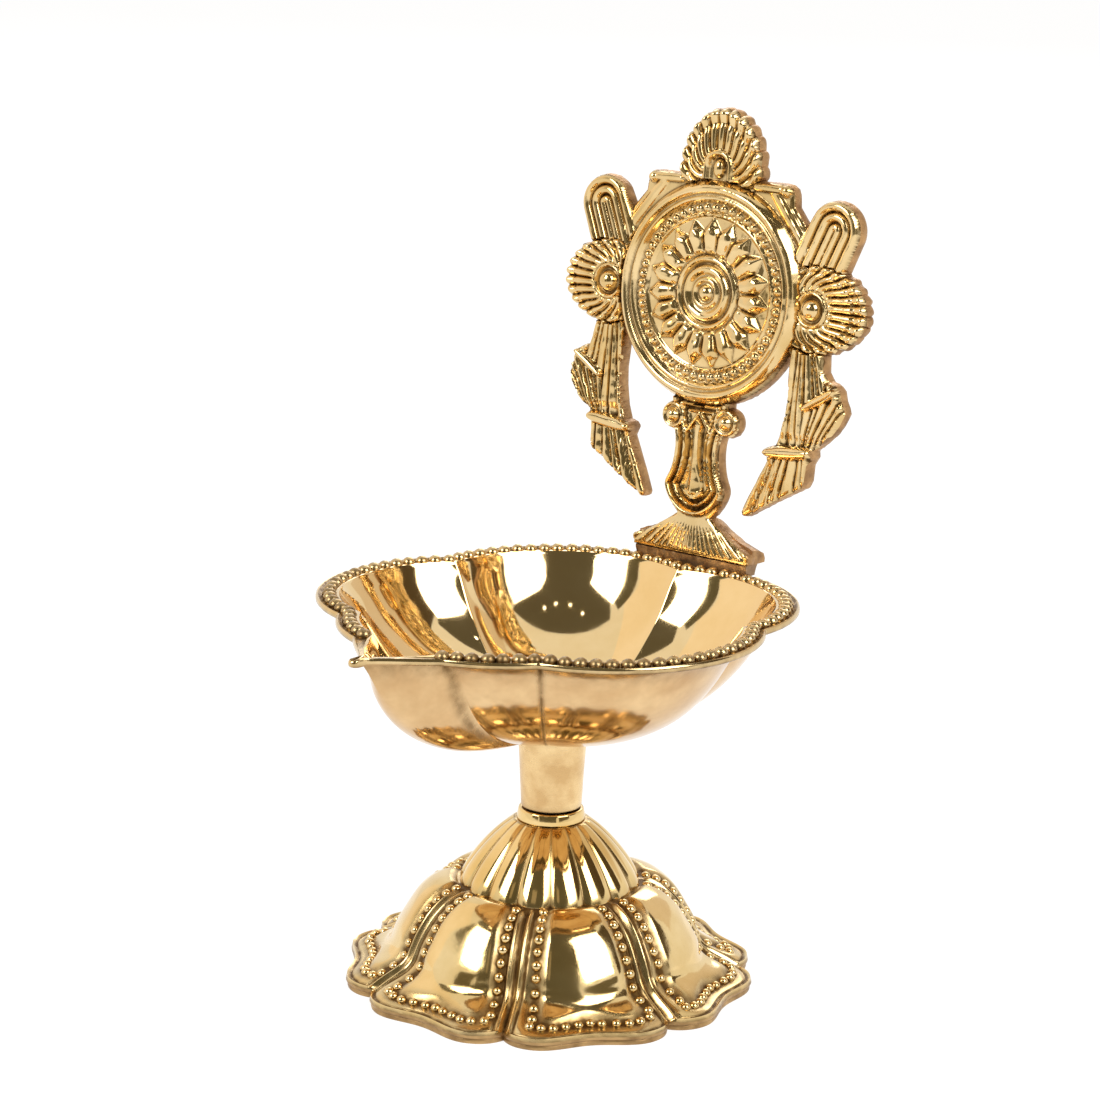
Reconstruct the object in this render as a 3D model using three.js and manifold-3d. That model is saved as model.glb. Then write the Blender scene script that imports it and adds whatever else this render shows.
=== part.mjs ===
// Brass oil lamp with a lobed bowl, a screwed-on petal foot and a cast emblem plate behind the bowl.
// Millimetres, +Z up, the pouring lip points to -Y, the stem stands on the Z axis.
import * as THREE from "three";
import { mergeVertices } from "three/addons/utils/BufferGeometryUtils.js";
import Module from "manifold-3d";

const wasm = await Module();
wasm.setup();

// Clearances
const TURN_GAP = 0.3;            // between pieces that move or turn on each other
const SEAT_GAP = 0.3;            // between a leaning piece and its seat
const THREAD_GAP = 0.15;         // radial, stud in its tapped hole
const HOLE_GAP = 0.4;            // radial, stud through a plain hole

// Stud, nut and washer that clamp the foot
const STUD_RADIUS = 4.0;
const THREAD_PITCH = 1.25;
const THREAD_ENGAGED = 7.0;
const NUT_ACROSS_FLATS = 13.0;
const NUT_HEIGHT = 5.0;
const WASHER_RADIUS = 9.0;
const WASHER_THICKNESS = 1.6;
const STUD_PROUD = 1.5;          // stud end below the nut

// Petal foot
const PETALS = 7;
const PETAL_PHASE = 27.0;        // degrees, first seam counted from the lip towards +X
const FOOT_SEAT_Z = 20.0;        // flat the dome stands on
const FOOT_SEAT_RADIUS = 18.4;
const FOOT_CORNER_RADIUS = 41.4; // rounded corners of a petal
const FOOT_NOTCH_RADIUS = 37.4;  // bottom of the notch between petals
const FOOT_MIDDLE_DIP = 2.4;     // shallow wave in the middle of a petal's edge
const FOOT_EDGE_Z = 2.3;         // top of the rolled edge
const FOOT_FLANGE_HEIGHT = 1.5;
const FOOT_WALL = 2.0;
const CLAMP_WALL = 2.8;          // under the seat, where the washer bears
const SEAM_RIDGE = 0.55;

// Fluted dome and its collar
const FLUTES = 16;
const FLUTE_PHASE = 40.6;        // degrees, one groove counted from the lip towards +X
const DOME_RADIUS = 18.1;
const DOME_HEIGHT = 12.8;
const DOME_TOP_RADIUS = 7.2;
const DOME_SLACK = 1.6;          // 1 would be a round arc, more is flatter
const FLUTE_DEPTH = 1.0;
const COLLAR_RADIUS = 6.85;
const COLLAR_HEIGHT = 2.1;

// Stem
const STEM_FOOT_RADIUS = 6.05;
const STEM_TOP_RADIUS = 6.75;
const STEM_LENGTH = 15.2;
const STEM_CHAMFER = 0.5;
const SPIGOT_RADIUS = 3.6;       // boss under the bowl that the stem is brazed on
const SPIGOT_LENGTH = 4.0;

// Bowl
const LOBES = 5;
const LOBE_CENTRE = 18.0;        // centre of each lobe's arc from the axis
const LOBE_RADIUS = 30.7;        // arc of the rim's outer edge
const RIM_WIDTH = 4.9;
const RIM_THICKNESS = 1.3;
const BOWL_DEPTH = 26.0;         // underside at the stem up to the rim's top face
const BOWL_WALL = 1.8;
const LIP_REACH = 10.8;          // pouring lip beyond its lobe
const LIP_HALF_ANGLE = 14.0;     // degrees, the lip and the channel under it
const LIP_PINCH = 1.5;
const LIP_RIM_WIDTH = 1.9;

// Back plate: the relief face leans back from the rim
const PLATE_LEAN = 5.0;          // degrees
const PLATE_REACH = 42.95;       // relief face behind the stem axis, at the foot of the plate
const PLATE_BACK = 2.4;          // flat back behind the reference plane
const HEEL_BACK = 6.0;           // thick heel behind the plate's foot
const SOLDER_THICKNESS = 2.3;
const PLATE_FOOT_WIDTH = 29.4;
const DISC_RISE = 54.1;          // disc centre above the plate's foot
const DISC_RADIUS = 22.2;
const DISC_PROUD = 2.9;
const SHOULDER_SPAN = 17.4;
const FLOWER_SPAN = 25.8;
const FLOWER_RADIUS = 9.2;
const FLOWER_REACH = 12.2;
const ROSETTE_PETALS = 19;
const FLAME_HEIGHT = 13.2;
const FLAME_HALF_WIDTH = 10.0;

// Sizes that follow
const HOLE_RADIUS = STUD_RADIUS + HOLE_GAP;
const CLAMP_Z = FOOT_SEAT_Z - CLAMP_WALL;
const DOME_TOP_Z = FOOT_SEAT_Z + DOME_HEIGHT;
const COLLAR_TOP_Z = DOME_TOP_Z + TURN_GAP + COLLAR_HEIGHT;
const STEM_FOOT_Z = COLLAR_TOP_Z + TURN_GAP;
const BOWL_FOOT_Z = STEM_FOOT_Z + STEM_LENGTH;
const RIM_Z = BOWL_FOOT_Z + BOWL_DEPTH;
const STUD_TOP_Z = STEM_FOOT_Z + THREAD_ENGAGED;
const PLATE_FOOT_Z = RIM_Z + SOLDER_THICKNESS;

const brass = (color, roughness) => new THREE.MeshStandardMaterial({ color, roughness, metalness: 1 });
const POLISHED = brass(0xd9b15a, 0.16);
const SATIN = brass(0xd4b083, 0.42);
const CAST = brass(0xc8973f, 0.3);
const STEEL = brass(0x8d8d8a, 0.45);
const SOLDER = brass(0x9a9384, 0.55);

const radians = THREE.MathUtils.degToRad;
const mix = THREE.MathUtils.lerp;

function bare(geometry) {
  const copy = geometry.clone();
  copy.deleteAttribute("normal");
  copy.deleteAttribute("uv");
  return mergeVertices(copy, 1e-5);
}

function solid(geometry) {
  const merged = bare(geometry);
  return new wasm.Manifold(new wasm.Mesh({
    numProp: 3,
    vertProperties: new Float32Array(merged.attributes.position.array),
    triVerts: new Uint32Array(merged.index.array),
  }));
}

function geometryOf(manifold) {
  const mesh = manifold.getMesh();
  const geometry = new THREE.BufferGeometry();
  geometry.setAttribute("position", new THREE.BufferAttribute(new Float32Array(mesh.vertProperties), 3));
  geometry.setIndex(new THREE.BufferAttribute(new Uint32Array(mesh.triVerts), 1));
  return geometry;
}

function piece(name, geometry, material) {
  const mesh = new THREE.Mesh(geometry, material);
  mesh.name = name;
  return mesh;
}

function meshOf(points, faces) {
  const geometry = new THREE.BufferGeometry();
  geometry.setAttribute("position", new THREE.Float32BufferAttribute(points, 3));
  geometry.setIndex(faces);
  return geometry;
}

// A body around the Z axis. Its closed section of [radius, z] points is given for every angle
// and runs outwards along the bottom, up, and back in along the top.
function revolve(angles, sectionAt) {
  const sections = angles.map(sectionAt);
  const count = sections[0].length;
  const points = [];
  sections.forEach((section, i) => {
    for (const [r, z] of section) points.push(r * Math.sin(angles[i]), -r * Math.cos(angles[i]), z);
  });
  const index = (i, k) => (sections[0][k][0] === 0 ? k : (i % angles.length) * count + k);
  const faces = [];
  for (let i = 0; i < angles.length; i++) {
    for (let k = 0; k < count; k++) {
      const up = (k + 1) % count;
      const corners = [index(i, k), index(i, up), index(i + 1, up), index(i + 1, k)];
      for (const face of [[0, 2, 1], [0, 3, 2]]) {
        const triangle = face.map((corner) => corners[corner]);
        if (new Set(triangle).size === 3) faces.push(...triangle);
      }
    }
  }
  return meshOf(points, faces);
}

function turned(section, segments) {
  const angles = Array.from({ length: segments }, (_, i) => (2 * Math.PI * i) / segments);
  return revolve(angles, () => section);
}

// Petal foot
const PETAL_STEPS = [-1, -0.93, -0.84, -0.64, -0.34, 0, 0.34, 0.64, 0.84, 0.93];

function petalEdge(s) {
  const rise = FOOT_CORNER_RADIUS - FOOT_NOTCH_RADIUS;
  const corner = 0.64;
  const wave = Math.abs(s) < corner ? (1 + Math.cos((Math.PI * s) / corner)) / 2 : 0;
  return FOOT_NOTCH_RADIUS + rise * (1 - Math.abs(s) ** 6) - FOOT_MIDDLE_DIP * wave;
}

// Slope of a petal's crown and of the seam between two petals, from the seat down to the hem:
// share of the way out from the seat to the edge, share of the seat's height above the edge
const CROWN_SLOPE = [
  [0.058, 1.008], [0.184, 0.966], [0.316, 0.859], [0.422, 0.718], [0.515, 0.559], [0.578, 0.384], [0.684, 0.209],
  [0.835, 0.034],
];
const SEAM_SLOPE = [
  [0.063, 0.969], [0.174, 0.915], [0.284, 0.831], [0.379, 0.729], [0.463, 0.593], [0.542, 0.424], [0.658, 0.220],
  [0.800, 0.085],
];

function petalSection(s) {
  const crown = 1 - s ** 2;
  const ridge = Math.abs(Math.abs(s) - 0.93) < 0.01 ? SEAM_RIDGE : 0;
  const edge = petalEdge(s);
  const rise = FOOT_SEAT_Z - FOOT_EDGE_Z;
  const station = ([share, lift], foot) => [
    FOOT_SEAT_RADIUS + share * (foot - FOOT_SEAT_RADIUS), FOOT_EDGE_Z + lift * rise,
  ];
  const crownFoot = petalEdge(0);
  const skirt = CROWN_SLOPE.map((crest, k) => {
    const last = k === CROWN_SLOPE.length - 1;
    const [crownR, crownZ] = station(crest, last ? edge : crownFoot);
    const [seamR, seamZ] = station(SEAM_SLOPE[k], last ? edge : FOOT_NOTCH_RADIUS);
    return [mix(seamR, crownR, crown), mix(seamZ, crownZ, crown)];
  });
  const outer = skirt.map(([r, z]) => [r + ridge * 0.8, z + ridge * 0.5]);
  const rolled = [
    [edge - 1.4, FOOT_EDGE_Z],
    [edge - 0.3, FOOT_EDGE_Z - 0.4],
    [edge - 0.3, FOOT_FLANGE_HEIGHT + 0.1],
    [edge - 0.6, FOOT_FLANGE_HEIGHT - 0.1],
    [edge, FOOT_FLANGE_HEIGHT - 0.4],
    [edge, 0],
  ];
  const hollow = [
    [edge - FOOT_WALL - 1.0, 0],
    [edge - FOOT_WALL - 2.6, 0.4],
    ...[6, 4, 2].map((k) => [skirt[k][0] - FOOT_WALL, skirt[k][1] - 0.7 * FOOT_WALL]),
    [FOOT_SEAT_RADIUS, CLAMP_Z],
    [HOLE_RADIUS, CLAMP_Z],
  ];
  const seat = [[HOLE_RADIUS, FOOT_SEAT_Z], [FOOT_SEAT_RADIUS, FOOT_SEAT_Z]];
  return [...seat, ...outer, ...rolled, ...hollow].reverse();
}

function petalFoot() {
  const pitch = (2 * Math.PI) / PETALS;
  const angles = [];
  const steps = [];
  for (let petal = 0; petal < PETALS; petal++) {
    for (const s of PETAL_STEPS) {
      angles.push(radians(PETAL_PHASE) + pitch * (petal + (s + 1) / 2));
      steps.push(s);
    }
  }
  return revolve(angles, (angle, i) => petalSection(steps[i]));
}

// Fluted dome
const FLUTE_STEPS = [0, 0.16, 0.5, 0.84];

function domeSection(groove) {
  const outer = [];
  const arcs = 8;
  for (let k = 0; k <= arcs; k++) {
    const turn = (Math.PI / 2) * (1 - k / arcs);
    const r = mix(DOME_TOP_RADIUS, DOME_RADIUS, Math.cos(turn) ** DOME_SLACK);
    const fade = mix(0.25, 1, k / arcs);
    outer.push([r - groove * FLUTE_DEPTH * fade, FOOT_SEAT_Z + DOME_HEIGHT * Math.sin(turn) ** DOME_SLACK]);
  }
  return [...outer, [HOLE_RADIUS, FOOT_SEAT_Z], [HOLE_RADIUS, DOME_TOP_Z]].reverse();
}

function flutedDome() {
  const pitch = (2 * Math.PI) / FLUTES;
  const angles = [];
  const grooves = [];
  for (let flute = 0; flute < FLUTES; flute++) {
    for (const step of FLUTE_STEPS) {
      angles.push(radians(FLUTE_PHASE) + pitch * (flute + step));
      grooves.push(Math.abs(2 * step - 1) ** 2.5);
    }
  }
  return revolve(angles, (angle, i) => domeSection(grooves[i]));
}

function domeCollar() {
  const low = DOME_TOP_Z + TURN_GAP;
  return turned([
    [HOLE_RADIUS, low], [COLLAR_RADIUS - 0.3, low], [COLLAR_RADIUS, low + 0.3],
    [COLLAR_RADIUS, COLLAR_TOP_Z - 0.4], [COLLAR_RADIUS - 0.4, COLLAR_TOP_Z], [HOLE_RADIUS, COLLAR_TOP_Z],
  ], 36);
}

// Stem, tapped at its foot and bored at its top for the bowl's spigot
function stem() {
  const tapped = STUD_RADIUS + THREAD_GAP;
  const tappedTop = STUD_TOP_Z + THREAD_PITCH;
  const socket = SPIGOT_RADIUS + THREAD_GAP;
  const socketFoot = BOWL_FOOT_Z - SPIGOT_LENGTH - SEAT_GAP;
  const waist = Math.min(socket, tapped) - 1.2;
  return turned([
    [tapped, STEM_FOOT_Z], [STEM_FOOT_RADIUS, STEM_FOOT_Z],
    [STEM_TOP_RADIUS, BOWL_FOOT_Z - 3 * STEM_CHAMFER], [STEM_TOP_RADIUS, BOWL_FOOT_Z - STEM_CHAMFER],
    [STEM_TOP_RADIUS - STEM_CHAMFER, BOWL_FOOT_Z], [socket, BOWL_FOOT_Z], [socket, socketFoot],
    [waist, socketFoot], [waist, tappedTop], [tapped, tappedTop],
  ], 36);
}

function studAndNut() {
  const washerLow = CLAMP_Z - WASHER_THICKNESS;
  const nutLow = washerLow - NUT_HEIGHT;
  const studLow = nutLow - STUD_PROUD;
  const stud = turned([
    [0, studLow], [STUD_RADIUS - 0.6, studLow], [STUD_RADIUS, studLow + 0.6],
    [STUD_RADIUS, STUD_TOP_Z - 0.6], [STUD_RADIUS - 0.6, STUD_TOP_Z], [0, STUD_TOP_Z],
  ], 24);
  const washer = turned([
    [HOLE_RADIUS, washerLow], [WASHER_RADIUS, washerLow],
    [WASHER_RADIUS, CLAMP_Z], [HOLE_RADIUS, CLAMP_Z],
  ], 32);
  const hexagon = new THREE.Shape();
  for (let corner = 0; corner < 6; corner++) {
    const turn = (Math.PI / 3) * corner;
    const reach = NUT_ACROSS_FLATS / Math.sqrt(3);
    const step = corner === 0 ? "moveTo" : "lineTo";
    hexagon[step](reach * Math.cos(turn), reach * Math.sin(turn));
  }
  hexagon.closePath();
  const hole = new THREE.Path();
  hole.absarc(0, 0, STUD_RADIUS + THREAD_GAP, 0, 2 * Math.PI, true);
  hexagon.holes.push(hole);
  const nut = new THREE.ExtrudeGeometry(hexagon, { depth: NUT_HEIGHT, bevelEnabled: false, curveSegments: 16 });
  nut.translate(0, 0, nutLow);
  return { stud, washer, nut };
}

// Bowl
function lobeReach(angle, arcRadius) {
  const span = (2 * Math.PI) / LOBES;
  const off = angle - span * Math.round(angle / span);
  return LOBE_CENTRE * Math.cos(off) + Math.sqrt(arcRadius ** 2 - (LOBE_CENTRE * Math.sin(off)) ** 2);
}

// How far the lip stands out: a sharp beak at the rim, a rounder channel lower down
function lipReach(angle, reach, roundness) {
  const off = Math.abs(THREE.MathUtils.radToDeg(Math.atan2(Math.sin(angle), Math.cos(angle))));
  return reach * (1 - Math.min(1, off / LIP_HALF_ANGLE) ** roundness);
}

function lobePinch(angle) {
  const off = Math.abs(THREE.MathUtils.radToDeg(Math.atan2(Math.sin(angle), Math.cos(angle))));
  return LIP_PINCH * Math.max(0, 1 - (off * LOBES) / 180);
}

function bowlSection(angle) {
  const pinch = lobePinch(angle);
  const beak = lipReach(angle, LIP_REACH, 0.5);
  const rimWidth = mix(RIM_WIDTH, LIP_RIM_WIDTH, Math.min(1, 2.5 * beak / LIP_REACH));
  const outerEdge = lobeReach(angle, LOBE_RADIUS) - pinch + beak;
  const lobeFull = lobeReach(0, LOBE_RADIUS - RIM_WIDTH);
  const lobe = (lobeReach(angle, LOBE_RADIUS - RIM_WIDTH) - pinch) / lobeFull;
  const wall = (share, lobing, channel, roundness, offset, z) => {
    const r = share * lobeFull * mix(1, lobe, lobing) + offset;
    return [r + lipReach(angle, channel * LIP_REACH, roundness), BOWL_FOOT_Z + z * BOWL_DEPTH];
  };
  const underRim = 1 - RIM_THICKNESS / BOWL_DEPTH;
  const outside = [
    [0, BOWL_FOOT_Z],
    wall(0.17, 0.2, 0, 2, 0, 0),
    wall(0.36, 0.6, 0.75, 2, 0, 0.055),
    wall(0.55, 0.85, 0.98, 2.2, 0, 0.16),
    wall(0.70, 1, 1.03, 2.2, 0.4, 0.31),
    wall(0.81, 1, 1.04, 2.0, 0.8, 0.49),
    wall(0.89, 1, 1.03, 1.6, 1.1, 0.68),
    wall(0.95, 1, 1.0, 1.1, 1.4, 0.85),
    wall(1, 1, 0.92, 0.7, BOWL_WALL, underRim),
    [outerEdge - 0.5, BOWL_FOOT_Z + underRim * BOWL_DEPTH],
    [outerEdge, BOWL_FOOT_Z + (underRim + 0.02) * BOWL_DEPTH],
    [outerEdge - 0.2, RIM_Z],
  ];
  const inside = [
    [outerEdge - rimWidth, RIM_Z],
    wall(0.94, 1, 0.92, 1.1, -0.3, 0.87),
    wall(0.87, 1, 0.94, 1.6, -0.5, 0.68),
    wall(0.77, 1, 0.92, 2.0, -0.7, 0.48),
    wall(0.64, 1, 0.86, 2.2, -0.8, 0.32),
    wall(0.46, 0.85, 0.7, 2.2, -0.6, 0.19),
    wall(0.24, 0.6, 0.3, 2, 0, 0.115),
    [0, BOWL_FOOT_Z + 0.09 * BOWL_DEPTH],
  ];
  return [...outside, ...inside];
}

// Steps across one lobe, closer together at the creases
const LOBE_STEPS = [-1, -0.86, -0.66, -0.44, -0.22, 0, 0.22, 0.44, 0.66, 0.86];
const LIP_STEPS = [-1, -0.8, -0.6, -0.39, -0.3, -0.2, -0.1, -0.03, 0, 0.03, 0.1, 0.2, 0.3, 0.39, 0.6, 0.8];

function bowl() {
  const half = Math.PI / LOBES;
  const angles = [];
  for (let lobe = 0; lobe < LOBES; lobe++) {
    for (const s of lobe === 0 ? LIP_STEPS : LOBE_STEPS) angles.push(2 * half * lobe + s * half);
  }
  const shell = solid(revolve(angles, bowlSection));
  const spigot = solid(turned([
    [0, BOWL_FOOT_Z - SPIGOT_LENGTH], [SPIGOT_RADIUS, BOWL_FOOT_Z - SPIGOT_LENGTH],
    [SPIGOT_RADIUS, BOWL_FOOT_Z + 0.05 * BOWL_DEPTH], [0, BOWL_FOOT_Z + 0.05 * BOWL_DEPTH],
  ], 32));
  return geometryOf(shell.add(spigot));
}

// Back plate, drawn in its own plane: X across, Y up from its foot, Z out of the relief face
const DISC_Y = DISC_RISE;
const FLOWER_Y = DISC_RISE - 0.4;
const SHOULDER_Y = DISC_RISE + 21.5;
const ROLL_Y = 24.6;
const NECK_TOP_Y = DISC_RISE - DISC_RADIUS + 1.5;

function outline(points) {
  const shape = new THREE.Shape();
  points.forEach(([x, y], i) => (i === 0 ? shape.moveTo(x, y) : shape.lineTo(x, y)));
  shape.closePath();
  return shape;
}

function slab(shape, low, high, curveSegments = 10) {
  const depth = high - low;
  const geometry = new THREE.ExtrudeGeometry(shape, { depth, bevelEnabled: false, curveSegments });
  return solid(geometry.translate(0, 0, low));
}

function mirrored(points) {
  const flipped = points.map(([x, y]) => [-x, y]).reverse();
  return [...points, ...flipped];
}

function smooth(points, divisions) {
  const curve = new THREE.CatmullRomCurve3(points.map(([x, y]) => new THREE.Vector3(x, y, 0)), false, "catmullrom", 0.5);
  return curve.getPoints(divisions).map((p) => [p.x, p.y]);
}

function boss(section, x, y, segments) {
  return solid(turned(section, segments).translate(x, y, 0));
}

// A bar with round ends lying on the face, highest along its middle
function roll(x1, y1, x2, y2, halfWidth, low, high) {
  const length = Math.hypot(x2 - x1, y2 - y1);
  const shape = new THREE.Shape();
  shape.absarc(0, 0, halfWidth, Math.PI / 2, 1.5 * Math.PI, false);
  shape.absarc(length, 0, halfWidth, -Math.PI / 2, Math.PI / 2, false);
  const bevel = 0.4 * halfWidth;
  const geometry = new THREE.ExtrudeGeometry(shape, {
    depth: high - low - bevel, bevelThickness: bevel, bevelSize: bevel, bevelOffset: -bevel,
    bevelSegments: 1, curveSegments: 2,
  });
  geometry.translate(0, 0, low);
  return solid(geometry.rotateZ(Math.atan2(y2 - y1, x2 - x1)).translate(x1, y1, 0));
}

// A long ridge with a roof-shaped section between two points
function pleat(x1, y1, x2, y2, halfWidth, low, high) {
  const run = new THREE.Vector2(x2 - x1, y2 - y1);
  const side = new THREE.Vector2(-run.y, run.x).setLength(halfWidth);
  const points = [];
  for (const [x, y, wide] of [[x1, y1, 0.6], [x2, y2, 1]]) {
    points.push(x - wide * side.x, y - wide * side.y, low);
    points.push(x + wide * side.x, y + wide * side.y, low);
    points.push(x, y, high);
  }
  return solid(meshOf(points, [0, 2, 1, 3, 4, 5, 0, 4, 3, 0, 1, 4, 1, 5, 4, 1, 2, 5, 2, 3, 5, 2, 0, 3]));
}

// A rayed shell: crests and grooves run out from a centre to an oval, scalloped edge
function rayedShell(centre, reach, rays, from, to, low, edge, crown) {
  const { x, y } = centre;
  const points = [x, y, low, x, y, crown];
  const faces = [];
  const steps = rays * 2;
  const whole = to - from >= 2 * Math.PI - 0.001;
  const stations = [[0.42, 1, 0.15], [0.84, 0.75, 0.5], [1, 0, 0]];
  const ringSize = stations.length + 1;
  for (let i = 0; i <= steps; i++) {
    const turn = mix(from, to, i / steps);
    const crest = i % 2 === 0 ? 1 : 0;
    const limit = reach(turn) * mix(0.955, 1, crest);
    points.push(x + limit * Math.cos(turn), y + limit * Math.sin(turn), low);
    for (const [share, lift, ripple] of stations.toReversed()) {
      const height = mix(edge, crown, lift) - (1 - crest) * ripple * 0.9;
      points.push(x + share * limit * Math.cos(turn), y + share * limit * Math.sin(turn), height);
    }
  }
  for (let i = 0; i < steps; i++) {
    const here = 2 + i * ringSize;
    const next = here + ringSize;
    faces.push(0, next, here);
    for (let k = 0; k < ringSize - 1; k++) {
      faces.push(here + k, next + k, next + k + 1, here + k, next + k + 1, here + k + 1);
    }
    faces.push(here + ringSize - 1, next + ringSize - 1, 1);
  }
  if (!whole) {
    const last = 2 + steps * ringSize;
    for (const [start, sense] of [[2, 1], [last, -1]]) {
      for (let k = 0; k < ringSize - 1; k++) {
        faces.push(...(sense > 0 ? [0, start + k, start + k + 1] : [0, start + k + 1, start + k]));
      }
      faces.push(...(sense > 0 ? [0, start + ringSize - 1, 1] : [0, 1, start + ringSize - 1]));
    }
  }
  return solid(meshOf(points, faces));
}

function plateFrame() {
  const flank = [[0, DISC_Y], [DISC_RADIUS + 1.6, DISC_Y + 3.0], [DISC_RADIUS + 1.8, DISC_Y + 10.5]];
  const shoulder = [
    [SHOULDER_SPAN + 4.2, DISC_Y + 15.7], [SHOULDER_SPAN + 1.3, SHOULDER_Y - 2.4], [SHOULDER_SPAN + 1.0, SHOULDER_Y],
    [SHOULDER_SPAN + 0.5, SHOULDER_Y + 1.2], [SHOULDER_SPAN - 0.5, SHOULDER_Y + 1.8],
    [SHOULDER_SPAN - 2.4, SHOULDER_Y + 1.9], [FLAME_HALF_WIDTH - 1, SHOULDER_Y + 1.8],
  ];
  const frame = slab(outline(mirrored([...flank, ...shoulder])), -PLATE_BACK, 0.1);
  const disc = boss([
    [0, -PLATE_BACK], [DISC_RADIUS + 0.7, -PLATE_BACK], [DISC_RADIUS + 0.2, 0.6], [0, 0.6],
  ], 0, DISC_Y, 36);
  const knobs = [1, -1].map((side) => roll(
    side * (FLAME_HALF_WIDTH - 1), SHOULDER_Y + 0.9, side * (SHOULDER_SPAN - 0.7), SHOULDER_Y + 0.6, 1.1, 0, 1.5));
  return [frame, disc, ...knobs];
}

function chakraDisc() {
  const rings = boss([
    [0, 0], [DISC_RADIUS, 0], [DISC_RADIUS, 1.5], [DISC_RADIUS - 1.3, DISC_PROUD],
    [DISC_RADIUS - 2.9, 2.3], [DISC_RADIUS - 4.0, 1.5],
    [7.4, 1.4], [6.7, 2.8], [4.9, 1.9], [3.6, 2.9], [2.6, 2.0], [1.4, 3.1], [0, 3.4],
  ], 0, DISC_Y, 36);
  const petals = [];
  for (let i = 0; i < ROSETTE_PETALS; i++) {
    const turn = (2 * Math.PI * i) / ROSETTE_PETALS;
    petals.push(rosettePetal().rotateZ(turn).translate(0, DISC_Y, 0));
  }
  return [rings, ...petals.map(solid)];
}

function rosettePetal() {
  const low = 1.0;
  const root = 6.8;
  const shoulder = 12.9;
  const tip = 14.9;
  const points = [
    -1.0, root, low, 1.0, root, low, 1.75, shoulder, low, 0, tip, low, -1.75, shoulder, low,
    0, root, 2.3, 0, shoulder, 2.7,
  ];
  const faces = [0, 2, 1, 0, 4, 2, 4, 3, 2, 0, 1, 5, 1, 2, 6, 1, 6, 5, 2, 3, 6, 3, 4, 6, 4, 0, 5, 4, 5, 6];
  return meshOf(points, faces);
}

function plateNeck() {
  const half = PLATE_FOOT_WIDTH / 2;
  const waist = smooth([
    [4.3, 8.4], [6.0, 10.6], [7.5, 14.0], [6.3, 16.8], [5.4, 20.9], [5.7, 24.5], [6.6, NECK_TOP_Y],
  ], 12);
  const neck = slab(outline(mirrored([[0, 0], [half, 0], [half, 1.9], [half - 5.5, 4.6], ...waist])), -PLATE_BACK, 0);
  const foot = [[0, 0], [half, 0], [half, 1.9], [half - 5.5, 4.6], [4.3, 8.7], [0, 8.7]];
  const heel = outline([[0, 0], [-HEEL_BACK, 0], [-HEEL_BACK, 2.0], [-PLATE_BACK, 9.0], [0, 9.0]]);
  const wedge = new THREE.ExtrudeGeometry(heel, { depth: 2 * half, bevelEnabled: false });
  const inner = waist.map(([x, y]) => [0.62 * x, y]).filter(([, y]) => y > 9);
  const raised = slab(outline(mirrored([[0, 8.6], ...inner])), 0, 0.7);
  const lance = roll(0, 13.2, 0, 26.0, 1.1, 0.5, 1.4);
  const fan = [];
  for (let i = -4; i <= 4; i++) {
    const lean = i * 0.26;
    const spread = (0.9 * half * Math.sin(lean)) / Math.sin(1.04);
    fan.push(pleat(0.9 * i, 6.6 - 0.25 * Math.abs(i), spread, 0.3, 0.7, -0.3, 0.7));
  }
  const volutes = [1, -1].map((side) => boss([
    [0, -PLATE_BACK], [2.9, -PLATE_BACK], [2.9, 0.4], [2.2, 1.0], [1.7, 0.4], [1.2, 0.5], [0, 1.9],
  ], side * 6.7, 28.2, 12));
  const block = slab(outline(mirrored(foot)), -2 * HEEL_BACK, 0);
  const heelSolid = solid(wedge.rotateY(-Math.PI / 2).translate(half, 0, 0)).intersect(block);
  return [neck, heelSolid, raised, lance, ...fan, ...volutes];
}

function ribbon(side) {
  const place = (points) => points.map(([x, y]) => [side * x, y]);
  const front = 0.9;
  const drop = [
    [21.0, 47], [21.3, 40.4], [21.6, 35.9], [21.3, 32.3], [20.5, 28.3], [19.3, 25.2], [17.6, 24.0],
    [17.9, 22.3], [16.4, 19.2], [14.2, 14.7], [12.7, 11.0], [13.2, 10.1], [26.9, 18.0], [27.4, 19.3],
    [27.6, 22.8], [28.4, 24.7], [28.0, 25.8], [30.6, 27.6], [33.9, 31.4], [35.1, 34.4], [33.6, 37.1],
    [33.1, 38.9], [30.8, 39.6], [28.6, 42.0], [28.7, 47],
  ];
  const body = slab(outline(place(drop)), -PLATE_BACK, front);
  const lower = roll(side * 18.0, ROLL_Y - 0.9, side * 28.2, ROLL_Y + 0.2, 0.95, 0, 2.3);
  const upper = roll(side * 26.0, 33.4, side * 32.9, 38.4, 0.8, 0, 2.2);
  const pleats = [];
  for (let i = 0; i < 4; i++) {
    pleats.push(pleat(side * (22.9 + 1.7 * i), 45, side * (20.4 + 2.2 * i), ROLL_Y + 0.6, 0.6, 0.5, 1.7));
    pleats.push(pleat(side * (19.4 + 2.4 * i), ROLL_Y - 1.4, side * (14.8 + 3.7 * i), 11.6 + 2.0 * i, 0.8, 0.5, 1.7));
  }
  for (let i = 0; i < 3; i++) {
    pleats.push(pleat(side * (28.2 + 1.9 * i), 34.1 + 1.4 * i, side * (29.4 + 2.2 * i), 27.0 + 3.0 * i, 0.7, 0.5, 1.6));
  }
  return [body, lower, upper, ...pleats];
}

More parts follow.
